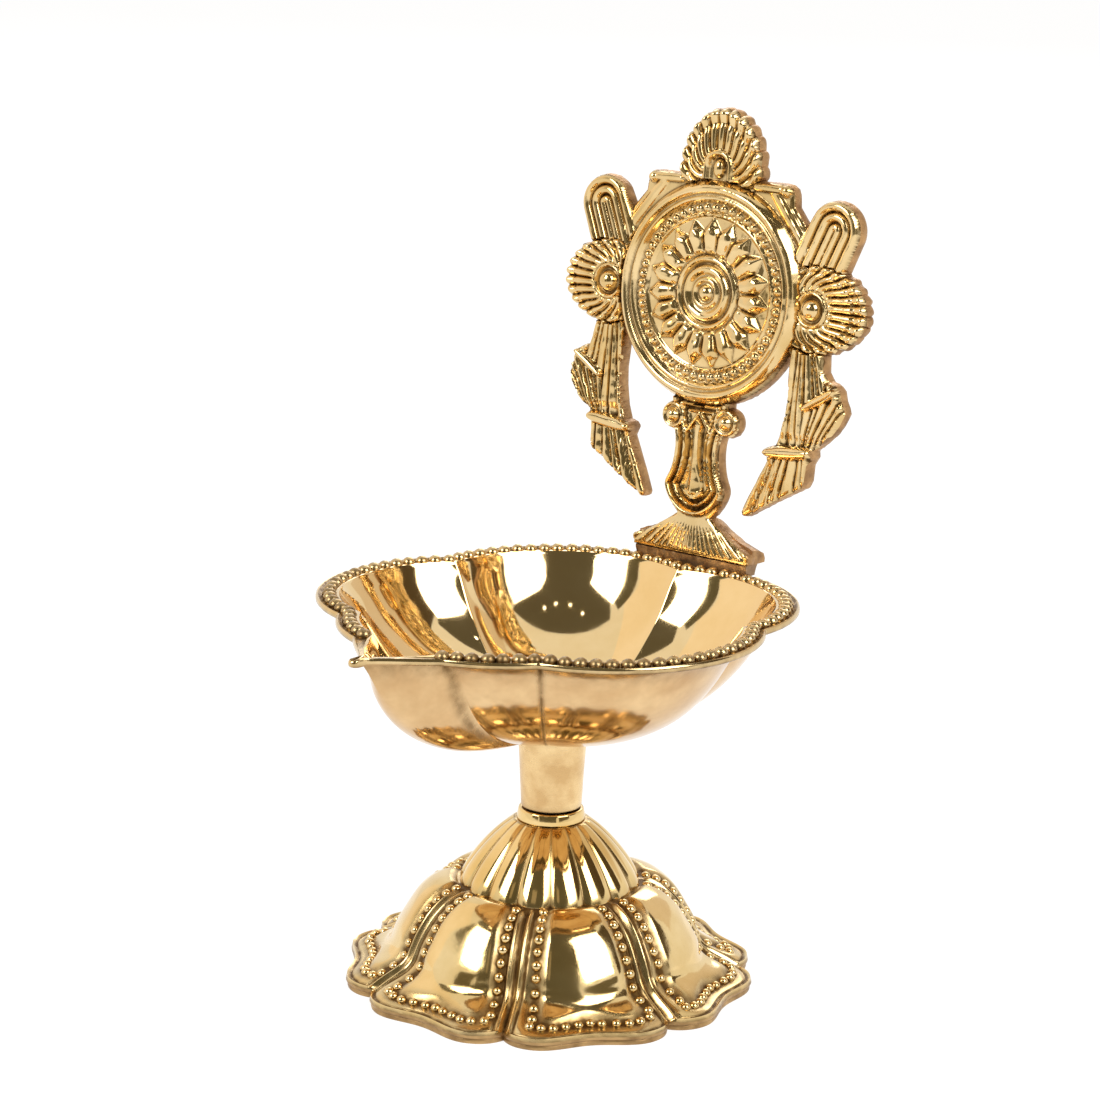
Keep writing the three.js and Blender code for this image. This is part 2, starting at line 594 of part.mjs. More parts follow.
function flower(side) {
  const reach = (turn) => {
    const across = side * Math.cos(turn) > 0 ? FLOWER_REACH : FLOWER_RADIUS;
    return 1 / Math.hypot(Math.cos(turn) / across, Math.sin(turn) / FLOWER_RADIUS);
  };
  const centre = { x: side * FLOWER_SPAN, y: FLOWER_Y };
  const rays = rayedShell(centre, reach, 24, 0, 2 * Math.PI, -PLATE_BACK, -0.6, 1.7);
  const eye = boss([
    [0, 0], [3.8, 0], [3.8, 1.5], [3.0, 2.3], [2.3, 1.5], [1.8, 1.6], [1.2, 2.6], [0, 3.0],
  ], centre.x, centre.y, 12);
  return [rays, eye];
}

function loop(side) {
  const outer = (inset) => {
    const shape = new THREE.Shape();
    const radius = 5.9 - inset;
    shape.moveTo(side * (19.0 + inset), 67.2 - 0.6 * inset);
    for (let i = 0; i <= 10; i++) {
      const turn = mix(radians(138), radians(-16), i / 10);
      shape.lineTo(side * (28.8 + radius * Math.cos(turn)), 69.5 + radius * Math.sin(turn));
    }
    shape.lineTo(side * (31.0 - inset), 60.6);
    shape.lineTo(side * (22.0 + inset), 58.0);
    shape.closePath();
    return shape;
  };
  const strand = (inset) => slab(outer(inset), -0.2, 0.9).subtract(slab(outer(inset + 1.3), -1, 2));
  return [slab(outer(0), -PLATE_BACK + 0.6, 0.1), strand(0.35), strand(3.0)];
}

function flame() {
  const reach = (turn) => 1 / Math.hypot(Math.cos(turn) / FLAME_HALF_WIDTH, Math.sin(turn) / FLAME_HEIGHT);
  const centre = { x: 0, y: DISC_Y + 24.2 };
  const rays = rayedShell(centre, reach, 17, radians(-20), radians(200), -PLATE_BACK, -0.6, 1.5);
  const arch = (reachX, rise, low, high) => {
    const shape = new THREE.Shape();
    shape.moveTo(-reachX, DISC_Y + 21.5);
    shape.lineTo(-reachX, DISC_Y + rise - reachX);
    shape.absarc(0, DISC_Y + rise - reachX, reachX, Math.PI, 0, true);
    shape.lineTo(reachX, DISC_Y + 21.5);
    shape.closePath();
    return slab(shape, low, high, 6);
  };
  const ring = arch(3.4, 28.9, 0, 2.2).subtract(arch(2.3, 27.8, 1.6, 4));
  return [rays, ring, arch(1.2, 26.6, 0, 2.1)];
}

function backPlate() {
  const solids = [
    ...plateFrame(), ...chakraDisc(), ...plateNeck(), ...flame(),
    ...[1, -1].flatMap((side) => [...ribbon(side), ...flower(side), ...loop(side)]),
  ];
  const flat = geometryOf(solids.reduce((sum, part) => sum.add(part)));
  flat.rotateX(Math.PI / 2 - radians(PLATE_LEAN)).translate(0, PLATE_REACH, PLATE_FOOT_Z);
  const filed = new THREE.BoxGeometry(100, 100, 40).translate(0, PLATE_REACH, PLATE_FOOT_Z - 20);
  return geometryOf(solid(flat).subtract(solid(filed)));
}

function solderSeam() {
  const half = PLATE_FOOT_WIDTH / 2 - 0.9;
  const front = PLATE_REACH + 0.7;
  const shape = outline([[-half, front], [half, front], [half, front + 2.6], [-half, front + 2.6]]);
  return new THREE.ExtrudeGeometry(shape, { depth: SOLDER_THICKNESS, bevelEnabled: false }).translate(0, 0, RIM_Z);
}

const { stud, washer, nut } = studAndNut();
const lamp = new THREE.Group();
lamp.add(
  piece("petal_foot", petalFoot(), POLISHED),
  piece("fluted_dome", flutedDome(), POLISHED),
  piece("dome_collar", domeCollar(), POLISHED),
  piece("tie_stud", stud, STEEL),
  piece("foot_washer", washer, STEEL),
  piece("foot_nut", nut, STEEL),
  piece("stem", stem(), SATIN),
  piece("bowl", bowl(), POLISHED),
  piece("solder_seam", solderSeam(), SOLDER),
  piece("back_plate", backPlate(), CAST),
);

export default lamp;
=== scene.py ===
import math
from math import pi

import bmesh
import bpy
import numpy as np
from mathutils import Matrix, Vector

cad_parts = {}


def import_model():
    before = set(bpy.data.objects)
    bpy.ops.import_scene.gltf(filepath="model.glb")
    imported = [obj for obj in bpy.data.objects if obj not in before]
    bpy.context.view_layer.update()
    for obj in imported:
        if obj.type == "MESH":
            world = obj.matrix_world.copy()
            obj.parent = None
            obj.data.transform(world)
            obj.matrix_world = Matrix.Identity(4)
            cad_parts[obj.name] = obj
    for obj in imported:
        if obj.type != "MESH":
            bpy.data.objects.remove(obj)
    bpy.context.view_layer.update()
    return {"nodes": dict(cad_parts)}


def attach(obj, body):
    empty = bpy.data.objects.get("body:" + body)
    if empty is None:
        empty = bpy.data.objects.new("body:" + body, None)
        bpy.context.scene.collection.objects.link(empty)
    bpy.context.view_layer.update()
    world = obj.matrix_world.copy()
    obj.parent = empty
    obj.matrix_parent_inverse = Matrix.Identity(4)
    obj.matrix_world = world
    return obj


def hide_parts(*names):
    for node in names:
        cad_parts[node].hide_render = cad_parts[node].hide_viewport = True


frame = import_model()

# All shapes below are worked out in millimetres, about the stem's axis, and scaled once to metres.
MM = 0.001
TURN = 2 * pi
UP = np.array([0, 0, 1])


# Numbers and curves
def radians(degrees):
    return np.asarray(degrees, float) * pi / 180


def blend(a, b, share):
    return a + (np.asarray(b) - a) * share


def ease(low, high, x):
    t = np.clip((np.asarray(x, float) - low) / (high - low), 0, 1)
    return t * t * (3 - 2 * t)


def hump(x, width):
    return np.exp(-(np.asarray(x) / width) ** 2)


def wobble(seed, x, y, scale, count=14):
    """A smooth irregular field between about -1 and 1, waves of about the given length."""
    dice = np.random.RandomState(seed)
    total = np.zeros(np.broadcast(x, y).shape)
    for _ in range(count):
        turn = dice.uniform(0, TURN)
        wave = TURN / scale * dice.uniform(0.5, 1.6)
        phase = dice.uniform(0, TURN)
        total += np.sin(wave * (x * math.cos(turn) + y * math.sin(turn)) + phase)
    return total / math.sqrt(count * 2)


def spline_matrix(count, params):
    """Rows that turn the values at 0..count-1 into the natural cubic spline's values at params."""
    left = np.zeros((count, count))
    right = np.zeros((count, count))
    left[0, 0] = left[-1, -1] = 1
    for i in range(1, count - 1):
        left[i, i - 1:i + 2] = (1, 4, 1)
        right[i, i - 1:i + 2] = (6, -12, 6)
    curvature = np.linalg.solve(left, right)
    rows = np.zeros((len(params), count))
    for row, p in enumerate(params):
        k = min(int(p), count - 2)
        t = p - k
        rows[row, k] += 1 - t
        rows[row, k + 1] += t
        rows[row] += ((1 - t) ** 3 - (1 - t)) / 6 * curvature[k] + (t ** 3 - t) / 6 * curvature[k + 1]
    return rows


def splined(stations, params):
    """Draws stations [angle, station, (r, z)] out along natural cubic splines."""
    return np.einsum("mk,akc->amc", spline_matrix(stations.shape[1], params), stations)


def column(r, z):
    """One station (r, z) of a section, for every angle."""
    return np.stack(np.broadcast_arrays(r, z), axis=-1)[:, None]


def all_round(stations, angles):
    """The same stations for every angle."""
    return np.broadcast_to(np.array(stations, float), (len(angles), len(stations), 2))


def rounded(away, half):
    """Height of a round ridge: 1 on its crest, 0 from half its breadth outwards."""
    return np.sqrt(np.clip(1 - (away / half) ** 2, 0, 1))


def off_nearest(turn, count):
    """Angle from the nearest of so many even steps round the circle."""
    step = TURN / count
    return (turn + step / 2) % step - step / 2


# Meshes
def revolved(angles, sections):
    """Points and quads of a closed section swept round the axis: sections is (angle, station, [r, z])."""
    around, along = sections.shape[:2]
    r, z = sections[:, :, 0], sections[:, :, 1]
    turn = np.asarray(angles)[:, None]
    points = np.stack([r * np.sin(turn), -r * np.cos(turn), z], axis=2).reshape(-1, 3)
    i, k = np.meshgrid(np.arange(around), np.arange(along), indexing="ij")
    ahead = (i + 1) % around
    up = (k + 1) % along
    quads = np.stack([i * along + k, ahead * along + k, ahead * along + up, i * along + up], axis=2)
    return points, quads.reshape(-1, 4)


def ball(segments, rings):
    """A unit ball round the Z axis: points, quads and triangles."""
    points = [(0, 0, -1)]
    for j in range(1, rings):
        rise = pi * j / rings - pi / 2
        for turn in TURN * np.arange(segments) / segments:
            points.append((math.cos(rise) * math.cos(turn), math.cos(rise) * math.sin(turn), math.sin(rise)))
    points.append((0, 0, 1))
    quads, triangles = [], []
    top = len(points) - 1
    for i in range(segments):
        ahead = (i + 1) % segments
        triangles += [(0, 1 + ahead, 1 + i), (top, top - segments + i, top - segments + ahead)]
        for row in range(1, top - segments, segments):
            quads.append((row + i, row + ahead, row + segments + ahead, row + segments + i))
    return np.array(points, float), np.array(quads), np.array(triangles)


def beads(places, axes, segments=10, rings=6):
    """One ball for each place, stretched along its three axes (each a vector of that half-size)."""
    shape, quads, triangles = ball(segments, rings)
    points = np.array(places)[:, None, :] + np.einsum("vk,nkc->nvc", shape, np.array(axes))
    shift = (np.arange(len(places)) * len(shape))[:, None, None]
    return points.reshape(-1, 3), (quads + shift).reshape(-1, 4), (triangles + shift).reshape(-1, 3)


def bar(rows):
    """Points, quads and end faces of a bar. Each row of points runs along it."""
    grid = np.stack(rows)
    around, along = grid.shape[:2]
    i, k = np.meshgrid(np.arange(around), np.arange(along - 1), indexing="ij")
    ahead = (i + 1) % around
    quads = np.stack([i * along + k, i * along + k + 1, ahead * along + k + 1, ahead * along + k], axis=2)
    first = np.arange(around) * along
    return grid.reshape(-1, 3), quads.reshape(-1, 4), np.stack([first, (first + along - 1)[::-1]])


FLAT_FINISH = 2  # material index of faces that are shaded flat


class Shape:
    """One piece's points, each with how much patina and painted shade darken it, and faces, each with its
    material index (finish).
    """

    def __init__(self, points, face_sets, patina_and_shade, finish=0):
        self.points = np.zeros((0, 3))
        self.patina_and_shade = np.zeros(0)
        self.faces = []
        self.finish = []
        self.add(points, face_sets, patina_and_shade, finish)

    def add(self, points, face_sets, patina_and_shade, finish=0):
        start = len(self.points)
        self.points = np.vstack([self.points, points])
        self.patina_and_shade = np.concatenate([self.patina_and_shade, np.broadcast_to(patina_and_shade, (len(points),))])
        for faces in face_sets:
            self.join((np.asarray(faces) + start).tolist(), finish)

    def join(self, faces, finish):
        """Adds faces between points that are there already."""
        self.faces.extend(faces)
        self.finish.extend(np.broadcast_to(finish, (len(faces),)).tolist())


def add_object(name, data):
    item = bpy.data.objects.new(name, data)
    bpy.context.scene.collection.objects.link(item)
    return item


def piece(name, shape, materials, body, node, sharp, weld=False):
    """The finished object. Edges of more than sharp degrees show as edges."""
    mesh = bpy.data.meshes.new(name)
    mesh.from_pydata((shape.points * MM).tolist(), [], shape.faces)
    mesh.attributes.new("patina_and_shade", "FLOAT", "POINT").data.foreach_set("value", shape.patina_and_shade.astype(np.float32))
    for material in materials:
        mesh.materials.append(material)
    mesh.polygons.foreach_set("material_index", np.array(shape.finish, np.int32))
    if weld:
        weld_points(mesh)
    mesh.update()
    mesh.set_sharp_from_angle(angle=math.radians(sharp))
    finish = np.zeros(len(mesh.polygons), np.int32)
    mesh.polygons.foreach_get("material_index", finish)
    mesh.polygons.foreach_set("use_smooth", finish != FLAT_FINISH)
    item = add_object(name, mesh)
    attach(item, body)
    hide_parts(*node)


def weld_points(mesh):
    work = bmesh.new()
    work.from_mesh(mesh)
    bmesh.ops.remove_doubles(work, verts=work.verts, dist=2e-6)
    work.to_mesh(mesh)
    work.free()


# Materials
def fill(tree, node, inputs):
    """Gives inputs plain values, or links them to other nodes' outputs."""
    for key, value in inputs.items():
        if isinstance(value, bpy.types.NodeSocket):
            tree.links.new(value, node.inputs[key])
        else:
            node.inputs[key].default_value = value


def add_node(tree, kind, inputs, output):
    """A new node's named output."""
    node = tree.nodes.new("ShaderNode" + kind)
    fill(tree, node, inputs)
    return node.outputs[output]


def start(data, kind="Material"):
    """The emptied tree of a material or world, and the input that its surface goes into."""
    data.use_nodes = True
    data.node_tree.nodes.clear()
    return data.node_tree, data.node_tree.nodes.new("ShaderNodeOutput" + kind).inputs["Surface"]


def metal(name, look):
    """A material whose look(tree) gives the inputs of its shader."""
    material = bpy.data.materials.new(name)
    tree, surface = start(material)
    tree.links.new(add_node(tree, "BsdfPrincipled", look(tree), "BSDF"), surface)
    return material


def noise(tree, scale, detail=4.0, stretch=(1, 1, 1)):
    coords = add_node(tree, "TexCoord", {}, "Object")
    place = add_node(tree, "Mapping", {"Vector": coords, "Scale": stretch}, "Vector")
    inputs = {"Vector": place, "Scale": scale, "Detail": detail, "Roughness": 0.55}
    return add_node(tree, "TexNoise", inputs, "Fac")


def remap(tree, value, low, high, to_low, to_high):
    inputs = {"Value": value, "From Min": low, "From Max": high, "To Min": to_low, "To Max": to_high}
    return add_node(tree, "MapRange", inputs, "Result")


def maths(tree, operation, a, b):
    node = tree.nodes.new("ShaderNodeMath")
    node.operation = operation
    fill(tree, node, {0: a, 1: b})
    return node.outputs["Value"]


MIX_A, MIX_B, MIX_RESULT = 6, 7, 2  # the mix node's sockets for colour


def mixed(tree, share, a, b):
    node = tree.nodes.new("ShaderNodeMix")
    node.data_type = "RGBA"
    fill(tree, node, {"Factor": share, MIX_A: a, MIX_B: b})
    return node.outputs[MIX_RESULT]


# Brown of the patina. On the bowl and its rim beads it is also painted shade.
PATINA_AND_SHADE = (0.13, 0.07, 0.022, 1)


def brass(name, light, deep, rough, spread, patina_and_shade_share=1.0, bump=0.000012, grain=900, cloud=90,
          stretch=(1, 1, 1)):
    """Brass whose tone and polish drift over the surface, with brown patina where the shape says so. On the
    bowl and its beads the same brown is also painted shade.
    """
    def look(tree):
        tone = mixed(tree, remap(tree, noise(tree, cloud), 0.35, 0.65, 0, 1), (*light, 1), (*deep, 1))
        darkening = tree.nodes.new("ShaderNodeAttribute")
        darkening.attribute_name = "patina_and_shade"
        speckle = remap(tree, noise(tree, 420, 3), 0.3, 0.7, 0.55, 1.25)
        amount = remap(tree, maths(tree, "MULTIPLY", darkening.outputs["Fac"], speckle), 0, 1, 0, patina_and_shade_share)
        polish = remap(tree, noise(tree, cloud * 2.2, 5, stretch), 0.3, 0.7, rough - spread, rough + spread)
        relief = {"Height": noise(tree, grain, 3, stretch), "Strength": 0.55, "Distance": bump}
        return {"Metallic": 1.0, "Base Color": mixed(tree, amount, tone, PATINA_AND_SHADE),
                "Roughness": maths(tree, "ADD", polish, maths(tree, "MULTIPLY", amount, 0.38)),
                "Normal": add_node(tree, "Bump", relief, "Normal")}
    return metal(name, look)


def rough_cast(name, light, dark, rough, bump=0.00012):
    """Unpolished casting skin, solder or steel: grainy and only partly metallic."""
    def look(tree):
        patches = remap(tree, noise(tree, 260, 5), 0.35, 0.68, 0, 1)
        relief = {"Height": noise(tree, 1500), "Strength": 0.6, "Distance": bump}
        return {"Metallic": 0.75, "Base Color": mixed(tree, patches, (*light, 1), (*dark, 1)),
                "Roughness": remap(tree, noise(tree, 700, 3), 0.3, 0.7, rough - 0.1, rough + 0.12),
                "Normal": add_node(tree, "Bump", relief, "Normal")}
    return metal(name, look)


# Light tone, deep tone, roughness and its spread
POLISHED = brass("polished_brass", (0.87, 0.655, 0.33), (0.75, 0.525, 0.22), 0.105, 0.04,
    patina_and_shade_share=1.35, bump=0.000018, grain=1200)
DOME_BRASS = brass("dome_brass", (0.85, 0.62, 0.29), (0.72, 0.49, 0.18), 0.085, 0.025)
BOWL_INSIDE = brass("mirror_brass", (0.84, 0.62, 0.32), (0.79, 0.56, 0.26), 0.065, 0.02, bump=0.000004)
BOWL_OUTSIDE = brass("satin_brass", (0.83, 0.575, 0.30), (0.63, 0.39, 0.18), 0.10, 0.03,
    bump=0.000006, cloud=75)
STEM_BRASS = brass("stem_satin_brass", (0.965, 0.71, 0.365), (0.67, 0.43, 0.19), 0.24, 0.06,
    bump=0.00002, cloud=130, stretch=(1, 1, 5))
PLATE_BRASS = brass("cast_brass", (0.83, 0.615, 0.315), (0.68, 0.465, 0.19), 0.11, 0.04,
    patina_and_shade_share=1.2, bump=0.00001)
FILED_BACK = brass("filed_back_brass", (0.74, 0.52, 0.25), (0.64, 0.44, 0.20), 0.33, 0.06,
    patina_and_shade_share=0.12, bump=0.00005, grain=420, cloud=70, stretch=(3, 1, 1))
CAST_SKIN = rough_cast("casting_skin", (0.56, 0.32, 0.13), (0.26, 0.135, 0.052), 0.42)
FOOT_SKIN = rough_cast("foot_edge_skin", (0.52, 0.33, 0.14), (0.27, 0.155, 0.06), 0.38, 0.00006)
SOLDER = rough_cast("grey_solder", (0.46, 0.29, 0.15), (0.21, 0.12, 0.06), 0.40)
STEEL = rough_cast("zinc_steel", (0.52, 0.52, 0.50), (0.40, 0.40, 0.38), 0.35, 0.00002)


# Petal foot. s runs over a petal from -1 at one seam to 1 at the next
PETALS = 7
PETAL_TURN = TURN / PETALS
PETAL_PHASE = 27.0  # degrees from the lip to the first seam, towards +X
SEAT_Z = 20.0
SEAT_RADIUS = 18.4
BORE_RADIUS = 4.4
CLAMP_Z = 17.2
NOTCH_RADIUS = 37.4
CORNER_REACH = 4.0  # a petal's corners beyond the notches
MIDDLE_DIP = 2.4
DIP_SHARE = 0.64
CROWN = [(19.6, 20.15), (22.3, 19.4), (25.3, 17.2), (27.3, 14.5), (29.0, 11.6), (30.5, 8.6), (32.1, 5.5)]
SEAM = [(19.6, 19.45), (21.7, 18.5), (23.8, 17.0), (25.6, 15.2), (27.2, 12.8), (28.7, 9.8), (30.9, 6.2)]
CROWN_HEM = [(3.4, 2.9), (1.6, 2.4), (0.35, 2.1)]  # distance in from the edge, height
SEAM_HEM = [(3.8, 3.8), (1.5, 2.4), (0.3, 1.95)]
FOOT_RIM = [(0.05, 1.75), (0, 1.4), (0.16, 1.1), (0.5, 0.9), (0.4, 0.7), (0.3, 0.4), (0.4, 0),
    (2.9, 0), (4.4, 0.75)]
FOOT_WALL = 1.9
BEAD_RADIUS = 0.95
BEAD_FROM_EDGE = 3.75
SIDE_BEADS = 10
HEM_BEADS = (-0.70, -0.57, -0.43, -0.28, -0.12, 0.03, 0.17, 0.33, 0.47, 0.61, 0.76)


def petal_edge(s):
    """Radius of the foot's outline."""
    wave = np.where(np.abs(s) < DIP_SHARE, (1 + np.cos(pi * s / DIP_SHARE)) / 2, 0)
    return NOTCH_RADIUS + CORNER_REACH * (1 - np.abs(s) ** 6) - MIDDLE_DIP * wave


def petal_skirt(s, params):
    """Bare surface of the slope, [r, z] for every s and params (0 at the seat, 10 at the edge)."""
    s = np.asarray(s, float)
    crown = (1 - s ** 2)[:, None, None]
    edge = petal_edge(s)[:, None]
    upper = blend(np.array(SEAM), np.array(CROWN), crown)
    hem = blend(np.array(SEAM_HEM), np.array(CROWN_HEM), crown)
    hem[:, :, 0] = edge - hem[:, :, 0]
    seat = all_round([(SEAT_RADIUS, SEAT_Z)], s)
    return splined(np.concatenate([seat, upper, hem], axis=1), params)


def skirt_normals(skirt):
    step = np.gradient(skirt, axis=1)
    normal = np.stack([-step[:, :, 1], step[:, :, 0]], axis=2)
    return normal / np.linalg.norm(normal, axis=2, keepdims=True)


def bead_offset(s, r):
    """How far in from the seam the side beads sit."""
    left = np.interp(r, [19.6, 27, 35], [3.3, 4.0, 5.0])
    right = np.interp(r, [19.6, 27, 35], [2.2, 3.0, 3.0])
    return np.where(s < 0, left, right)


def petal_relief(s, r):
    """Height of the cast border, bead channel and pillow over the bare slope, and the patina on them."""
    edge = petal_edge(s)
    in_from_seam = (1 - np.abs(s)) * pi / PETALS * r
    in_from_edge = edge - r
    a = in_from_seam - bead_offset(s, r)
    b = in_from_edge - BEAD_FROM_EDGE
    inside = -1.1 * np.log(np.exp(-np.clip(a, -9, 30) / 1.1) + np.exp(-np.clip(b, -9, 30) / 1.1))
    border = np.minimum(in_from_seam, in_from_edge + 0.9)
    groove = border - 1.95
    height = -0.24 * hump(inside, 1.0) + 0.55 * ease(0.5, 2.3, inside)
    height += 0.5 * hump(border - 1.1, 0.42) - 0.3 * hump(in_from_seam, 0.36) - 0.22 * hump(groove, 0.26)
    darkening = 0.95 * hump(in_from_seam, 0.42) + 0.85 * hump(groove, 0.42) + 0.95 * hump(inside, 1.5)
    darkening += 0.5 * ease(20.6, 19.0, r)
    return height, np.clip(darkening, 0, 1)


def side_steps():
    """Values of s over one petal, close together at the beads and seams."""
    half = np.concatenate([np.arange(0, 0.36, 0.0145), np.linspace(0.37, 1.0, 15)])
    return np.concatenate([-1 + half, (1 - half)[::-1][1:-1]])


def petal_foot():
    steps = side_steps()
    s = np.tile(steps, PETALS)
    petal = np.repeat(np.arange(PETALS), len(steps))
    angles = radians(PETAL_PHASE) + PETAL_TURN * (petal + (s + 1) / 2)
    params = np.linspace(0, 10, 96)
    skirt = petal_skirt(s, params)
    normal = skirt_normals(skirt)
    height, darkening = petal_relief(s[:, None], skirt[:, :, 0])
    height = height + 0.05 * wobble(5, angles[:, None] * 28, skirt[:, :, 0], 9)
    surface = skirt + normal * (height * ease(0, 1.2, params))[:, :, None]
    edge = petal_edge(s)
    rim = [column(edge - inset, z) for inset, z in FOOT_RIM]
    hollow = (skirt - FOOT_WALL * normal)[:, 70:13:-8]
    seat = all_round([(SEAT_RADIUS - 0.4, CLAMP_Z), (BORE_RADIUS, CLAMP_Z), (BORE_RADIUS, SEAT_Z)], s)
    section = np.concatenate([surface, *rim, hollow, seat], axis=1)[:, ::-1]
    inner = section.shape[1] - surface.shape[1]
    dark = np.full((len(s), section.shape[1]), 0.55)
    dark[:, inner:] = darkening[:, ::-1]
    points, quads = revolved(angles, section)
    station = quads[:, 0] % section.shape[1]
    shape = Shape(points, [quads], dark.reshape(-1), (station >= 3) & (station < inner - 1))
    points, *faces = beads(*foot_beads())
    shape.add(points, faces, 0.08)
    piece("petal_foot_cast", shape, [POLISHED, FOOT_SKIN], "base", ["petal_foot"], 62)


def side_bead_radii(side, params):
    """Radii of the beads down a petal's side, their pitch growing towards the hem."""
    line = petal_skirt(np.array([side * 0.76]), params)[0]
    run = np.concatenate([[0], np.cumsum(np.linalg.norm(np.diff(line, axis=0), axis=1))])
    first = np.interp(19.6, line[:, 0], run)
    last = np.interp(float(petal_edge(side * 0.73)) - 5.6, line[:, 0], run)
    share = np.arange(SIDE_BEADS) / (SIDE_BEADS - 1)
    return np.interp(first + (last - first) * (0.85 * share + 0.15 * share ** 2), run, line[:, 0])


def foot_beads():
    """Places and half-size axes of the bead rows on all petals."""
    params = np.linspace(0, 10, 241)
    spots = [(s, float(petal_edge(s)) - BEAD_FROM_EDGE) for s in HEM_BEADS]
    for side in (1, -1):
        rows = [(side * (1 - float(bead_offset(side, r)) / (pi / PETALS * r)), r)
                for r in side_bead_radii(side, params)]
        spots = rows + spots
    skirt = petal_skirt([s for s, r in spots], params)
    normal = skirt_normals(skirt)
    dice = np.random.RandomState(11)
    places, axes = [], []
    for petal in range(PETALS):
        for i, (spot_s, spot_r) in enumerate(spots):
            k = int(np.argmin(np.abs(skirt[i, 8:, 0] - spot_r))) + 8
            r, z = skirt[i, k] - normal[i, k] * 0.2
            turn = radians(PETAL_PHASE) + PETAL_TURN * (petal + (spot_s + 1) / 2)
            out = np.array([math.sin(turn), -math.cos(turn), 0])
            side = np.array([math.cos(turn), math.sin(turn), 0])
            up = out * normal[i, k, 0] + UP * normal[i, k, 1]
            slope = np.cross(side, up)
            size = BEAD_RADIUS * np.array([1.1, 1.1, 1.0]) * dice.uniform(0.94, 1.06, 3)
            places.append(out * r + UP * z + side * dice.uniform(-0.06, 0.06))
            axes.append([side * size[0], slope * size[1], up * size[2] * 0.92])
    return places, axes


# Fluted dome, collar and stem
FLUTES = 16
FLUTE_PHASE = 40.6  # degrees from the lip to a groove
DOME_RADIUS = 18.1
DOME_TOP_RADIUS = 7.2
DOME_HEIGHT = 12.8
DOME_SLACK = 1.6  # 1 would be a round arc, more is flatter
COLLAR_RADIUS = 6.85
COLLAR_FOOT_Z = 32.84
COLLAR_TOP_Z = 35.2
STEM_FOOT_RADIUS = 6.05
STEM_TOP_RADIUS = 6.75
STEM_FOOT_Z = 35.5
STEM_TOP_Z = 50.7
TAPPED_RADIUS = 4.15
TAPPED_TOP_Z = 43.75
SOCKET_RADIUS = 3.75
SOCKET_FOOT_Z = 46.4
BORED_RADIUS = 2.55


def fluted_dome():
    near = np.linspace(0, 0.12, 8)
    step = np.concatenate([near, np.linspace(0.17, 0.83, 15), np.linspace(0.88, 1, 8)[:-1]])
    flute = np.repeat(np.arange(FLUTES), len(step)) + np.tile(step, FLUTES)
    angles = radians(FLUTE_PHASE) + TURN / FLUTES * flute
    groove = np.tile(np.abs(2 * step - 1) ** 2.5, FLUTES)
    turn = pi / 2 * (1 - np.linspace(0, 1, 44) ** 0.9)
    r = blend(DOME_TOP_RADIUS, DOME_RADIUS, np.cos(turn) ** DOME_SLACK)
    z = SEAT_Z + DOME_HEIGHT * np.sin(turn) ** DOME_SLACK
    fade = blend(0.25, 1, 1 - turn / (pi / 2))
    outer = np.stack(np.broadcast_arrays(r - groove[:, None] * fade, z), axis=2)
    bore = all_round([(BORE_RADIUS, SEAT_Z), (BORE_RADIUS, SEAT_Z + DOME_HEIGHT)], angles)
    section = np.concatenate([outer, bore], axis=1)[:, ::-1]
    dark = np.zeros(section.shape[:2])
    grime = 0.85 * np.clip(groove - 0.55, 0, 1)[:, None] * 1.6 + 0.35 * ease(0.35, 0, turn)[None]
    dark[:, 2:] = grime[:, ::-1]
    dark[:, -3:] = 0.6
    points, quads = revolved(angles, section)
    shape = Shape(points, [quads], np.clip(dark, 0, 1).reshape(-1))
    piece("fluted_dome_cast", shape, [DOME_BRASS], "base", ["fluted_dome"], 62)


def lathe(name, profile, patina_and_shade, material, body, node, uneven=0.0):
    """A turned piece. The profile runs outwards along the bottom, up, and back in."""
    angles = np.arange(144) * TURN / 144
    section = all_round(profile, angles).copy()
    outer = section[:, :, 0] > BORE_RADIUS + 0.3
    section[:, :, 0] += outer * uneven * wobble(3, angles[:, None] * 6, section[:, :, 1], 5)
    points, quads = revolved(angles, section)
    shape = Shape(points, [quads], np.tile(np.array(patina_and_shade, float), len(angles)))
    piece(name, shape, [material], body, node, 40)


def dome_collar():
    low, high, r = COLLAR_FOOT_Z, COLLAR_TOP_Z, COLLAR_RADIUS
    profile = [(BORE_RADIUS, low), (r - 0.3, low), (r - 0.06, low + 0.1), (r, low + 0.3),
               (r - 0.12, low + 1.0), (r - 0.30, high - 0.5), (r - 0.37, high - 0.25),
               (r - 0.52, high - 0.06), (r - 0.8, high), (BORE_RADIUS, high)]
    patina_and_shade = [1, 0.6, 0.2, 0, 0, 0, 0, 0, 0.4, 1]
    lathe("dome_collar_turned", profile, patina_and_shade, DOME_BRASS, "collar", ["dome_collar"])


def stem_piece():
    low, high, foot, top = STEM_FOOT_Z, STEM_TOP_Z, STEM_FOOT_RADIUS, STEM_TOP_RADIUS
    outer = [(foot - 0.35, low), (foot - 0.08, low + 0.12), (foot, low + 0.45)]
    for share in np.arange(1, 14) / 13:
        outer.append((foot + (top - foot) * share, low + 0.45 + 13.25 * share))
    outer += [(top, high - 0.8), (top - 0.09, high - 0.35), (top - 0.35, high)]
    inner = [(SOCKET_RADIUS, high), (SOCKET_RADIUS, SOCKET_FOOT_Z), (BORED_RADIUS, SOCKET_FOOT_Z),
             (BORED_RADIUS, TAPPED_TOP_Z), (TAPPED_RADIUS, TAPPED_TOP_Z)]
    patina_and_shade = [1, 0.9, 0.55, 0.2] + [0.03] * 13 + [0.1, 0.5, 0.9] + [1] * 5
    lathe("stem_turned", [(TAPPED_RADIUS, low)] + outer + inner, patina_and_shade, STEM_BRASS, "upper", ["stem"],
          uneven=0.03)


